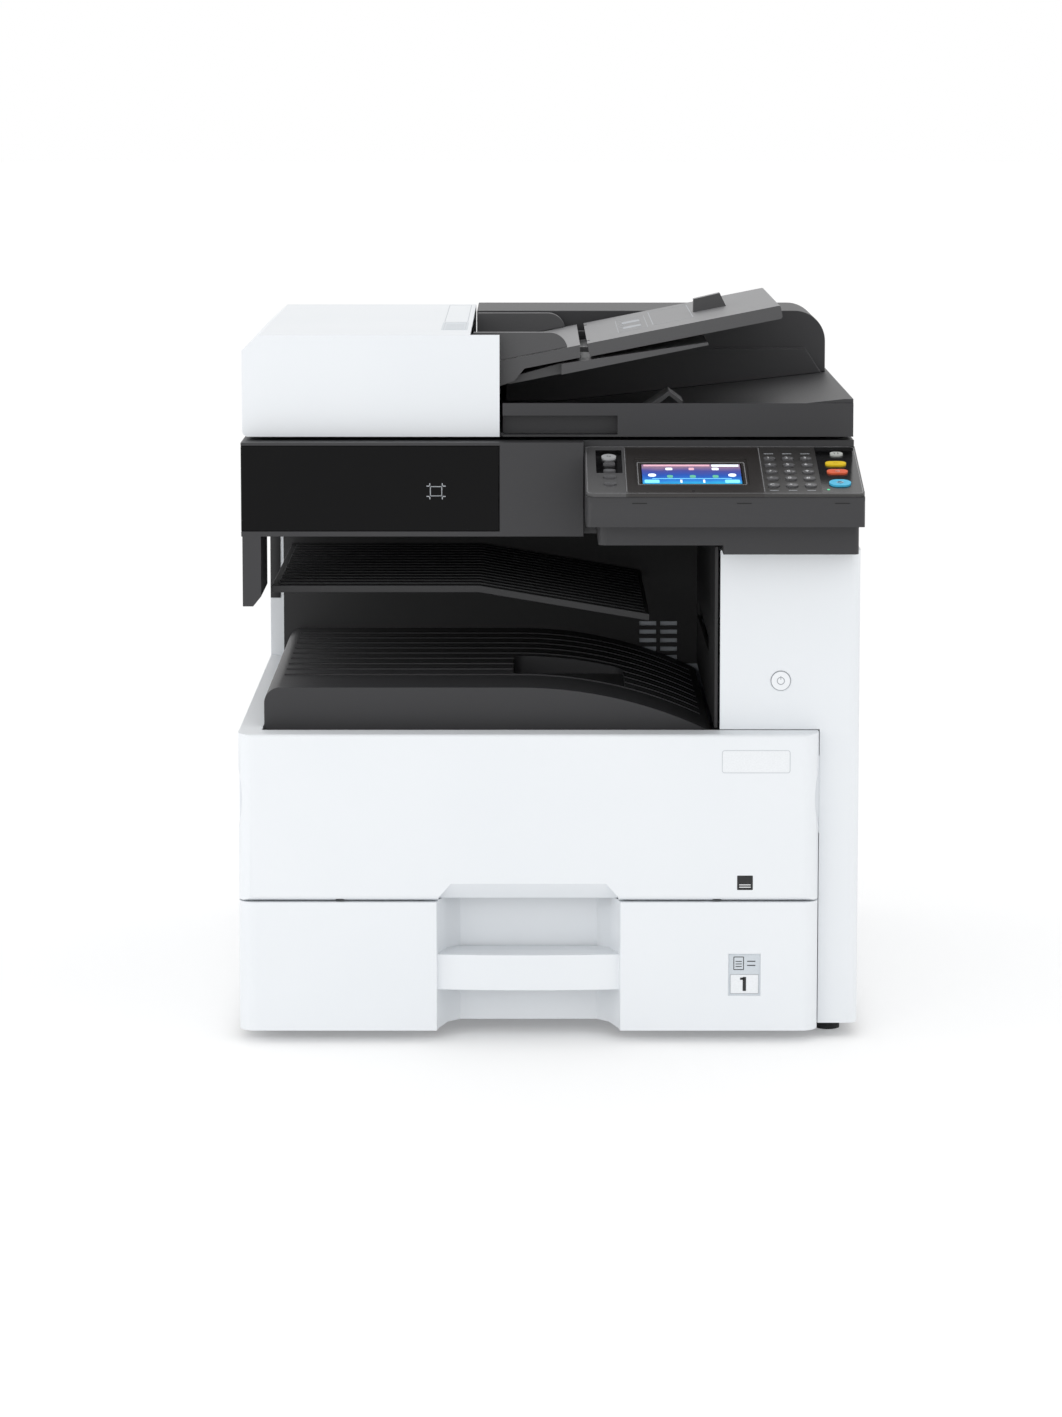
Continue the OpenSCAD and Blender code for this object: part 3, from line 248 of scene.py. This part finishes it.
def make_materials():
    """One finish for each material slot, and those of the prints, films and lamps."""
    return {
        # ABS, moulded with a fine satin grain: bright, slightly cool, soft highlights
        "white_cover": moulded("abs_white_satin", "#e7eaed", "#e0e4e8", 0.4, 1.1, 0.01),
        "rear_white": moulded("abs_rear_white", "#e0e3e6", "#d9dce0", 0.5, 1.3, 0.02),
        # ABS with a coarser spark-eroded grain: charcoal, nearly matt
        "dark_cover": moulded("abs_charcoal_grained", "#373739", "#313133", 0.46, 1.2, 0.02, ior=1.42),
        # The tray's finish gets painted light: a lighter tone on every face that looks up
        "dark_tray": painted_light_above(moulded("abs_tray_grained_painted_top_light", "#474748", "#404042", 0.44, 1.2, 0.02),
                                   "#7c7c7e"),
        "black_inside": moulded("abs_black_matt", "#202022", "#1a1a1c", 0.55, 1.5, 0.02),
        "cassette_dark": moulded("abs_cassette_charcoal", "#3a3b3f", "#333438", 0.5, 1.4, 0.02),
        # ABS polished in the mould: a deep black that mirrors the room faintly
        "gloss_black": moulded("abs_piano_black", "#080809", "#060607", 0.17, 40, 0.003, ior=1.22),
        "panel_face": panel_plastic(),
        "button_white": moulded("abs_button_white", "#eceef1", "#e6e9ec", 0.38, 0.9, 0.006),
        # ABS keys: a smooth top with a light satin, so that each catches one small highlight
        "key_grey": moulded("abs_key_silver_paint", "#cfd1d3", "#bfc1c4", 0.3, 0.6, 0.004, Metallic=0.3),
        "key_dark": moulded("abs_key_grey", "#5e5e60", "#525254", 0.3, 0.8, 0.004),
        "key_light": moulded("abs_key_light", "#cdcfcc", "#c0c3c0", 0.34, 0.8, 0.004),
        "key_yellow": moulded("abs_key_yellow", "#f0cf20", "#e6c215", 0.36, 0.8, 0.004),
        "key_red": moulded("abs_key_orange", "#ea6a45", "#e05c38", 0.36, 0.8, 0.004),
        "key_blue": moulded("abs_key_cyan", "#4cc3ea", "#3db5df", 0.36, 0.8, 0.004),
        # Steel sheet with a zinc coat: grey metal, softly blurred reflections
        "frame_steel": moulded("sheet_zinc_coated", "#b9bdc2", "#9fa4aa", 0.4, 6, 0.004, Metallic=0.9),
        "lift_steel": moulded("sheet_zinc_lift_plate", "#c2c5c9", "#aeb2b7", 0.36, 5, 0.004, Metallic=0.9),
        # Powder coat on steel: black, with an orange-peel surface
        "hinge_paint": moulded("steel_black_powder_coat", "#1d1d1f", "#171719", 0.45, 1.5, 0.03),
        "foot_rubber": moulded("rubber_black", "#1b1b1c", "#151516", 0.75, 1.2, 0.03, ior=1.52),
        "roller_rubber": moulded("rubber_roller_ground", "#2b2b2d", "#222224", 0.7, 0.9, 0.03, ior=1.52),
        "drum_coat": moulded("photoconductor_green", "#3f8f84", "#36857a", 0.14, 30, 0.002, Coat_Weight=0.5),
        "mat_white": moulded("foam_white_skin", "#f3f3ee", "#ecece6", 0.55, 2.0, 0.03),
        "screen": moulded("screen_window_bezel", "#101114", "#0b0c0f", 0.18, 20, 0.002),
        "platen": glass("glass_platen"),
        # Screen-printed inks, and films cut from sheet
        "ink_white": printed("ink_white", "#e8eaec"),
        "ink_grey": printed("ink_grey", "#a9adb2"),
        "ink_pale": printed("ink_pale_grey", "#c9cdd2"),
        "ink_black": printed("ink_black", "#1a1b1d"),
        "label_paper": printed("label_film_white", "#eceff2", rough=0.35),
        "label_tint": printed("label_film_tinted", "#cfd6dc", rough=0.35),
        # A black for the sensor's window, also laid in the lip's notches as painted shade
        "dark_slot": printed("slot_shadow_black", "#0b0b0c", rough=0.7),
        # ABS strips in a lighter grey along edges: painted highlights
        "painted_edge_highlight": moulded("abs_painted_edge_highlight", "#8b8b8d", "#7f7f81", 0.25, 2.0, 0.004),
        # Backlit icons, and a lamp's lens
        "icon_light": printed("lcd_icon_white", "#e9f2fb", rough=0.2, glow=0.8),
        "icon_cyan": printed("lcd_icon_cyan", "#7fd6f2", rough=0.2, glow=0.8),
        "icon_green": printed("lcd_icon_green", "#5fae8e", rough=0.2, glow=0.7),
        "icon_pink": printed("lcd_icon_pink", "#d9a9b8", rough=0.2, glow=0.7),
        "lamp_green": printed("led_green_lens", "#4fc38a", rough=0.2, glow=0.6),
    }


def paint(piece, finish):
    """Gives every material slot of a piece the finish."""
    if not piece.material_slots:
        piece.data.materials.append(finish)
    for slot in piece.material_slots:
        slot.material = finish


# ---- Pieces ---------------------------------------------------------------------------------

WELD = 0.002                   # distance at which vertices are merged
COPLANAR = math.radians(0.4)   # faces that turn less than this are made one
SHARP = math.radians(32)       # edges that turn more than this are rounded


def only(piece):
    """Makes a piece the one that is selected and active."""
    bpy.ops.object.select_all(action="DESELECT")
    piece.select_set(True)
    bpy.context.view_layer.objects.active = piece


def eased(node, width, rounder=None):
    """Shows a CAD node with its sharp edges rounded, as the moulding tool leaves them.

    rounder gives a larger radius, and a test on an edge's two ends that picks the edges it is for."""
    piece = NODES[node].copy()
    piece.data = NODES[node].data.copy()
    piece.parent = None
    for key in list(piece.keys()):
        del piece[key]
    piece.name = node + "_moulding"
    piece.data.name = piece.name
    bpy.context.scene.collection.objects.link(piece)
    only(piece)
    bpy.ops.object.mode_set(mode="EDIT")
    bpy.ops.mesh.select_all(action="SELECT")
    bpy.ops.mesh.remove_doubles(threshold=WELD * MM)
    bpy.ops.mesh.customdata_custom_splitnormals_clear()
    bpy.ops.mesh.dissolve_limited(angle_limit=COPLANAR)
    bpy.ops.object.mode_set(mode="OBJECT")
    if rounder:
        radius, picked = rounder
        bpy.ops.object.mode_set(mode="EDIT")
        bpy.ops.mesh.select_mode(type="EDGE")
        bpy.ops.mesh.select_all(action="DESELECT")
        bpy.ops.object.mode_set(mode="OBJECT")
        for line in piece.data.edges:
            line.select = all(picked(piece.data.vertices[i].co / MM) for i in line.vertices)
        bpy.ops.object.mode_set(mode="EDIT")
        bpy.ops.mesh.bevel(offset=radius * MM, segments=6, affect="EDGES", clamp_overlap=True)
        bpy.ops.object.mode_set(mode="OBJECT")
    bevel = piece.modifiers.new("edges", "BEVEL")
    bevel.width = width * MM
    bevel.segments = 2
    bevel.limit_method = "ANGLE"
    bevel.angle_limit = SHARP
    bevel.use_clamp_overlap = True
    bevel.harden_normals = True
    bpy.ops.object.shade_smooth_by_angle(angle=SHARP)
    bpy.ops.object.modifier_apply(modifier=bevel.name)
    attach(piece, BODY_OF[node])
    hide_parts(node)
    return piece


def fit_out(piece, name, body, finish, matrix=None):
    """Names a finished piece, puts its place into its mesh, and lets it ride on its body."""
    piece.name = piece.data.name = name
    if matrix is not None:
        piece.matrix_world = matrix @ piece.matrix_world
    only(piece)
    bpy.ops.object.transform_apply(location=True, rotation=True, scale=True)
    paint(piece, FINISH[finish])
    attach(piece, body)
    return piece


def slab(low, high, corner=0.0, edge=0.0, through=2):
    """A plate between two corners, in mm, with its corners rounded across one axis and its edges broken."""
    low, high = Vector(low) * MM, Vector(high) * MM
    bpy.ops.object.select_all(action="DESELECT")
    bpy.ops.mesh.primitive_cube_add(size=1, location=(low + high) / 2, scale=high - low)
    piece = bpy.context.object
    bpy.ops.object.transform_apply(location=True, rotation=True, scale=True)
    if corner:
        bpy.ops.object.mode_set(mode="EDIT")
        bpy.ops.mesh.select_mode(type="EDGE")
        bpy.ops.mesh.select_all(action="DESELECT")
        bpy.ops.object.mode_set(mode="OBJECT")
        for line in piece.data.edges:
            a, b = (piece.data.vertices[i].co for i in line.vertices)
            span = b - a
            line.select = abs(span[through]) > 0.99 * span.length
        bpy.ops.object.mode_set(mode="EDIT")
        bpy.ops.mesh.bevel(offset=corner * MM, segments=5, affect="EDGES")
        bpy.ops.object.mode_set(mode="OBJECT")
    if edge:
        broken = piece.modifiers.new("edge", "BEVEL")
        broken.width = edge * MM
        broken.segments = 2
        broken.limit_method = "ANGLE"
        broken.angle_limit = math.radians(50)
        bpy.ops.object.modifier_apply(modifier=broken.name)
    bpy.ops.object.shade_smooth_by_angle(angle=math.radians(35))
    return piece


def ring(centre, radius, line, height=0.12):
    """A flat ring round a point, in mm."""
    bpy.ops.object.select_all(action="DESELECT")
    bpy.ops.mesh.primitive_torus_add(location=Vector(centre) * MM, major_segments=40, minor_segments=8,
                                     major_radius=radius * MM, minor_radius=line / 2 * MM)
    piece = bpy.context.object
    piece.scale.z = height / line
    bpy.ops.object.transform_apply(location=False, rotation=False, scale=True)
    bpy.ops.object.shade_smooth()
    return piece


def figure(text, centre, size, height=0.12):
    """A raised figure, its middle at a point, in mm."""
    bpy.ops.object.select_all(action="DESELECT")
    bpy.ops.object.text_add(location=Vector(centre) * MM)
    made = bpy.context.object
    made.data.body = text
    made.data.align_x, made.data.align_y = "CENTER", "CENTER"
    made.data.size = size * MM
    made.data.extrude = height / 2 * MM
    made.data.resolution_u = 3
    bpy.ops.object.convert(target="MESH")
    return bpy.context.object


def joined(*pieces):
    """Several meshes made one."""
    only(pieces[0])
    for piece in pieces[1:]:
        piece.select_set(True)
    if len(pieces) > 1:
        bpy.ops.object.join()
    return bpy.context.object


def outline(low, high, line, height, corner=1.0):
    """A raised rectangular outline lying flat, in mm: a rounded plate inset and opened in the middle."""
    piece = slab((low[0], low[1], 0), (high[0], high[1], height), corner=corner)
    bpy.ops.object.mode_set(mode="EDIT")
    bpy.ops.mesh.select_mode(type="FACE")
    bpy.ops.mesh.select_all(action="DESELECT")
    bpy.ops.object.mode_set(mode="OBJECT")
    for face in piece.data.polygons:
        face.select = abs(face.normal.z) > 0.99
    bpy.ops.object.mode_set(mode="EDIT")
    bpy.ops.mesh.inset(thickness=line * MM, use_individual=True)
    bpy.ops.mesh.bridge_edge_loops()
    bpy.ops.object.mode_set(mode="OBJECT")
    return piece


# ---- Details of the control panel -----------------------------------------------------------

TILT = math.radians(13.6)   # slope of the panel's face
KEY_RISE = 1.5              # how far a key stands out of the face
PRINT = 0.1                 # thickness of a printed mark
SINK = 0.02                 # how far a mark's back lies under the face that it is printed on


def panel_frame():
    """Puts x along the panel, y up its slope and z out of its face, with y = 0 at the top edge."""
    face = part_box("panel_fascia")[1]
    top = Vector((0, face.y - 3 * MM * math.sin(TILT), face.z))
    return Matrix.Translation(top) @ Matrix.Rotation(TILT, 4, "X")


def dress_panel():
    """The display's picture, the key legends, and the lines, lamps and prints on the panel's face."""
    frame_of = panel_frame()

    def lay(piece, name, finish, body="machine"):
        return fit_out(piece, name, body, finish, frame_of)

    # The picture on the screen and its buttons
    x0, y0, w, h = 88, -104, 94, 55
    level = -1.4
    heights = [(frame_of @ Vector((0, y * MM, level * MM))).z / MM for y in (y0, y0 + h)]
    FINISH["picture"] = display_picture(*heights)
    lay(slab((x0, y0, level), (x0 + w, y0 + h, level + 0.15), corner=0.8), "display_picture", "picture")
    top = level + 0.15
    marks = [
        ("display_top_bar", "icon_light", [(0.71, 0.88, 0.985, 0.985)], 0.4),
        ("display_left_bar", "icon_pink", [(0.02, 0.9, 0.69, 0.98)], 0.4),
        ("display_tabs", "icon_light", [(0.24, 0.70, 0.31, 0.82), (0.71, 0.70, 0.78, 0.82)], 1.5),
        ("display_tab_middle", "icon_pink", [(0.475, 0.70, 0.53, 0.82)], 1.5),
        ("display_side_buttons", "icon_light", [(0.06, 0.36, 0.14, 0.52), (0.87, 0.36, 0.95, 0.52)], 3.5),
        ("display_mid_buttons", "icon_green",
         [(0.25, 0.3, 0.31, 0.44), (0.48, 0.3, 0.54, 0.44), (0.71, 0.3, 0.77, 0.44)], 2.2),
        ("display_foot_buttons", "icon_cyan", [(0.02, 0.04, 0.17, 0.2), (0.83, 0.04, 0.98, 0.2)], 1.5),
        ("display_foot_marks", "icon_light", [(0.38, 0.05, 0.4, 0.2), (0.61, 0.05, 0.63, 0.2)], 0.5),
        ("display_mid_line", "icon_cyan", [(0.1, 0.25, 0.9, 0.27)], 0.2),
    ]
    for name, finish, shares, corner in marks:
        parts = [slab((x0 + a * w, y0 + b * h, top), (x0 + c * w, y0 + d * h, top + 0.1), corner=corner)
                 for a, b, c, d in shares]
        lay(joined(*parts), name, finish)

    # Printed figures on the number keys, and a short bar beside each
    face = KEY_RISE
    back, front = face - SINK, face + PRINT
    figures = (("1", "2", "3"), ("4", "5", "6"), ("7", "8", "9"), ("*", "0", "#"), ("C", "+", "="))
    for row, y in enumerate((38.5, 57.5, 76.5, 95.5, 114.5)):
        for column, x in enumerate((211, 228.5, 246)):
            key = "number_key_%d_%d" % (row + 1, column + 1)
            digit = figure(figures[row][column], (x - 1.2, -y + 0.6, face + 0.05), 6.5)
            bar = slab((x + 1.6, -y - 1.6, back), (x + 4.2, -y - 0.8, front), corner=0.3)
            lay(joined(digit, bar), key + "_legend", "ink_white", key)
    for number, y in enumerate((54, 73.5, 90.5, 110)):
        key = "menu_key_%d" % (number + 1)
        bar = slab((54, -y - 0.6, back), (60, -y + 0.6, front), corner=0.4)
        lay(bar, key + "_legend", "ink_grey", key)
    home = joined(ring((57, -34, face + 0.03), 4.6, 0.9),
                  slab((55, -36, back), (59, -32.4, front), corner=0.6))
    lay(home, "home_key_legend", "ink_black", "home_key")
    lay(joined(slab((273.6, -27.5, back), (274.6, -22.5, front), corner=0.3),
               slab((277, -27.5, back), (278, -22.5, front), corner=0.3)),
        "reset_key_legend", "ink_black", "reset_key")
    lay(joined(ring((273.5, -53, face + 0.03), 2.6, 0.8),
               slab((271, -53.4, back), (276, -52.6, front), corner=0.3)),
        "energy_key_legend", "ink_black", "energy_key")
    lay(slab((271.4, -78, back), (275.6, -74, front), corner=0.5),
        "stop_key_legend", "ink_white", "stop_key")
    diamond = slab((-2.9, -2.9, 0), (2.9, 2.9, 0.12), corner=0.4)
    middle = Matrix.Translation((274 * MM, -108 * MM, back * MM))
    diamond.matrix_world = middle @ Matrix.Rotation(math.pi / 4, 4, "Z")
    lay(diamond, "start_key_legend", "ink_white", "start_key")

    # Field lines, lamps and small prints on the face; the field lines are painted highlights along the
    # fields' edges
    lines = [slab((x, -131, -0.1), (x + 0.7, -5, 0.22), corner=0.2) for x in (72, 201.5)]
    lay(joined(*lines), "panel_field_lines", "painted_edge_highlight")
    prints = [slab((x - 4.5, -22.8, -0.05), (x + 4.5, -21.4, 0.12), corner=0.4)
              for x in (211, 228.5, 246)]
    prints += [slab((x - 4, -127, -0.05), (x + 4, -126, 0.12), corner=0.3) for x in (211, 228.5, 246)]
    lay(joined(*prints), "panel_prints", "ink_grey")
    lay(joined(ring((262, -124, 0.05), 1.1, 0.9, 0.4),
               slab((261.2, -124.8, -0.05), (262.8, -123.2, 0.25), corner=0.7)),
        "panel_lamp", "lamp_green")
    lay(joined(ring((135, -128, 0.03), 1.4, 0.7, 0.2),
               slab((134, -129, -0.05), (136, -127, 0.12), corner=0.9)),
        "panel_sensor", "dark_slot")

    # Lighter frame round the screen: a painted highlight along its edge
    rim = outline((83.5, -108.5), (186.5, -44.5), 0.9, 0.35, corner=2.0)
    rim.matrix_world = Matrix.Translation((0, 0, -1.0 * MM))
    lay(rim, "screen_rim", "painted_edge_highlight")

    # Lighter line round the face: a painted highlight along its edge
    low, high = (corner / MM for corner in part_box("panel_fascia"))
    length = (high.y - low.y) / math.cos(TILT)
    edge = outline((low.x + 1.2, 3 - length), (high.x - 1.2, -1.2), 0.7, 0.22, corner=5.0)
    lay(edge, "panel_edge", "painted_edge_highlight")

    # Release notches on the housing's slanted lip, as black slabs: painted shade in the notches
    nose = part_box("panel_housing")[0].y / MM
    notches = [slab((x - 7, nose + 0.3, 523.6), (x + 7, nose + 1.6, 525.1), corner=0.5, through=1)
               for x in (84, 182, 274)]
    fit_out(joined(*notches), "panel_lip_notches", "machine", "dark_slot")


# ---- Labels and marks on the covers ---------------------------------------------------------

UPRIGHT = Matrix.Rotation(math.pi / 2, 4, "X")   # turns what lies flat to face the front
TRAY_SLOPE = math.radians(11.2)                  # rise of the document tray to the right


def on_front(y):
    """Stands flat work up on a front face at depth y, in mm, keeping x and turning y into height."""
    return Matrix.Translation((0, y * MM, 0)) @ UPRIGHT


def dress_front():
    """Films, stickers and marks on the upright faces, and the skins behind two seams."""
    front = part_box("front_cover")[0].y / MM
    # Blank name plate: a film a shade lighter than its border
    rim = outline((164, 263), (229, 285), 0.55, 0.2, corner=2.5)
    fit_out(rim, "name_plate_border", "front_cover", "ink_pale", on_front(front))
    film = slab((164.6, 263.6, 0), (228.4, 284.4, 0.12), corner=2.2)
    fit_out(film, "name_plate_film", "front_cover", "label_paper", on_front(front))
    # White skin behind the grip at the cover's right end
    skin = slab((249, -286.6, 200), (258.5, -285, 275), edge=0.2)
    fit_out(skin, "grip_backing", "machine", "white_cover")
    # Black trim on the front of the left cover's rear post
    trim = slab((-296.8, 204.3, 362), (-286, 204.9, 479), edge=0.1)
    fit_out(trim, "post_trim", "machine", "black_inside")
    # Plain two-tone sticker
    sticker = slab((179, 150, 0), (194, 164, 0.12), corner=0.6)
    fit_out(sticker, "sticker", "front_cover", "ink_black", on_front(front))
    bars = [slab((181, z, 0.05), (192, z + 0.8, 0.2), corner=0.3) for z in (152.4, 154.6)]
    fit_out(joined(*bars), "sticker_bars", "front_cover", "ink_white", on_front(front))

    # Paper size card in the cassette's window, with the cassette's number under it
    back = front + 1.5
    card = slab((171.6, 47.6, 0), (201.4, 87.4, 0.3), corner=0.5)
    fit_out(card, "size_card", "cassette", "label_tint", on_front(back))
    box_film = slab((173, 49, 0.2), (200, 67.6, 0.45), corner=0.8)
    fit_out(box_film, "size_card_number_field", "cassette", "label_paper", on_front(back))
    box_rim = outline((172.8, 48.8), (200.2, 67.8), 0.5, 0.55, corner=0.9)
    fit_out(box_rim, "size_card_number_rim", "cassette", "ink_grey", on_front(back))
    stroke = slab((184.9, 51.6, 0.4), (188.1, 65.2, 0.65), corner=0.2)
    flag = slab((182.4, 62.4, 0.4), (186, 64.6, 0.65), corner=0.3)
    fit_out(joined(stroke, flag), "size_card_number", "cassette", "ink_black", on_front(back))
    page = outline((176, 72), (186, 85), 0.7, 0.45, corner=0.6)
    page_lines = [slab((178, z, 0.2), (184, z + 0.7, 0.45), corner=0.3) for z in (75, 77.5, 80)]
    arrow = [slab((189, z, 0.2), (197, z + 0.9, 0.45), corner=0.3) for z in (76, 80)]
    fit_out(joined(page, *page_lines, *arrow), "size_card_page", "cassette", "ink_black", on_front(back))

    # Power symbol on the button
    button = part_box("power_button")
    x, z = ((button[0] + button[1]) / 2 / MM).xz
    stem = slab((x - 0.4, z + 1.2, 0), (x + 0.4, z + 4.6, 0.15), corner=0.3)
    symbol = joined(ring((x, z, 0.05), 3.4, 0.8, 0.25), ring((x, z, 0.03), 9.2, 0.6, 0.2), stem)
    fit_out(symbol, "power_symbol", "power_button", "ink_grey", on_front(button[0].y / MM))

    # Alignment mark on the gloss panel: a frame with two short ticks at each corner
    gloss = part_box("scanner_front_panel")[0].y / MM
    cx, cz = -109, 524
    mark = [outline((cx - 6, cz - 5), (cx + 6, cz + 5), 0.9, 0.15, corner=0.3)]
    for sx in (-1, 1):
        for sz in (-1, 1):
            x, z = cx + sx * 7.8, cz + sz * 5
            mark.append(slab((x - 1.4, z - 0.45, 0), (x + 1.4, z + 0.45, 0.15), corner=0.2))
            x, z = cx + sx * 6, cz + sz * 6.6
            mark.append(slab((x - 0.45, z - 1.2, 0), (x + 0.45, z + 1.2, 0.15), corner=0.2))
    fit_out(joined(*mark), "alignment_mark", "machine", "ink_grey", on_front(gloss))


def dress_feeder():
    """The label and the recess line on the white cover, the entry's mark and the tray's prints."""
    # Jam-clearing label on the white cover's top
    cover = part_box("adf_cover")[1]
    top = cover.z / MM
    film = slab((-106, -140, top), (-80, -30, top + 0.12), corner=1.5)
    fit_out(film, "cover_label", "feeder_cover", "label_tint")
    marks = [slab((-102, y, top + 0.05), (-84, y + 4, top + 0.2), corner=0.8)
             for y in (-128, -112, -96, -80, -64)]
    marks += [outline((-104, -136), (-82, -34), 0.7, 0.2, corner=1.0)]
    marks[-1].matrix_world = Matrix.Translation((0, 0, top * MM))
    fit_out(joined(*marks), "cover_label_marks", "feeder_cover", "ink_pale")
    strip = outline((-105, -24), (-81, 250), 0.8, 0.15, corner=1.5)
    fit_out(strip, "cover_recess_line", "feeder_cover", "ink_pale",
            Matrix.Translation((0, 0, top * MM)))

    # Guide mark on the wall behind the entry
    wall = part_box("adf_rear_cover")[0].y / MM
    arrow = [slab((-17 - 4 + i, 666 - i * 1.2, 0), (-17 + 4 - i, 667 - i * 1.2, 0.2), corner=0.2)
             for i in range(4)]
    line = slab((-26, 657.2, 0), (-7, 658.2, 0.2), corner=0.3)
    fit_out(joined(*arrow, line), "entry_mark", "feeder", "ink_white", on_front(wall))

    # Size prints on the document tray, laid on its slope
    tray = Matrix.Translation((37 * MM, 0, 662.934 * MM)) @ Matrix.Rotation(-TRAY_SLOPE, 4, "Y")
    prints = [outline((67, -112), (108, 81), 0.9, 0.15, corner=2.0)]
    prints += [slab((x, y, 0), (x + 9, y + 1.4, 0.15), corner=0.5)
               for x in (34, 48) for y in range(-110, 41, 22)]
    prints += [outline((32, -126), (62, 50), 0.6, 0.15, corner=1.5)]
    prints += [slab((38, y, 0), (56, y + 28, 0.15), corner=3.0) for y in (-90, -20)]
    fit_out(joined(*prints), "tray_prints", "document_tray", "ink_grey", tray)


# ---- Assembly -------------------------------------------------------------------------------

MOULD_EDGE = 0.8      # radius on the edges of a moulding
TRAY_EDGE = 1.4       # on the document tray's
CASSETTE_RIM = 6      # round the underside of the cassette's front
FLOOR_SIZE = 60       # metres

FINISH = make_materials()
for name, node in NODES.items():
    paint(node, FINISH[SLOT_OF[name]])


def underside_of_cassette(point):
    """The lower rim of the cassette's front, apart from the handle bay."""
    low, high = (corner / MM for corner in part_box("cassette_front"))
    outer = point.y < low.y + 0.1 or point.x < low.x + 9 or point.x > high.x - 9
    return point.z < low.z + 0.1 and outer and point.y < low.y + 24


for name in ("left_cover", "right_cover", "rear_cover", "front_cover", "adf_cover", "adf_base", "adf_feeder",
             "adf_rear_cover", "scanner_housing", "scanner_front_panel", "panel_housing", "panel_fascia",
             "output_tray", "job_tray", "inner_cover", "right_door", "mp_tray", "tray_guide_front",
             "tray_guide_rear", "original_stopper", "hinge_brackets"):
    paint(eased(name, MOULD_EDGE), FINISH[SLOT_OF[name]])
paint(eased("adf_tray", TRAY_EDGE), FINISH[SLOT_OF["adf_tray"]])
paint(eased("cassette_front", MOULD_EDGE, rounder=(CASSETTE_RIM, underside_of_cassette)),
      FINISH[SLOT_OF["cassette_front"]])
dress_panel()
dress_front()
dress_feeder()

make_camera()
area_light("key_softbox", (-1.4, -3.6, 1.3), (0, 0, 0.4), (2.4, 1.6), 12)
area_light("fill_softbox", (2.8, -2.6, 1.6), (0, 0, 0.35), (2.0, 2.6), 2)
area_light("top_softbox", (0, 0.3, 3.0), (0, 0, 0.4), (3.0, 2.4), 4)
area_light("edge_strip", (-2.6, -1.1, 0.9), (-0.3, -0.3, 0.4), (0.25, 1.8), 5)

world = bpy.data.worlds.new("studio")
world.use_nodes = True
world.node_tree.nodes["Background"].inputs["Color"].default_value = (1, 1, 1, 1)
world.node_tree.nodes["Background"].inputs["Strength"].default_value = 1.0
bpy.context.scene.world = world

bpy.ops.object.select_all(action="DESELECT")
bpy.ops.mesh.primitive_plane_add(size=FLOOR_SIZE, location=(0, 0, 0))
floor = bpy.context.object
floor.name = "floor"
pale, pale_tree, pale_shader = new_material("studio_floor", Roughness=0.9)
pale_shader.inputs["Base Color"].default_value = (0.8, 0.8, 0.8, 1)
pale_shader.inputs["Emission Color"].default_value = (1, 1, 1, 1)
pale_shader.inputs["Emission Strength"].default_value = 0.2
paint(floor, pale)
bpy.context.scene.view_settings.view_transform = "Standard"
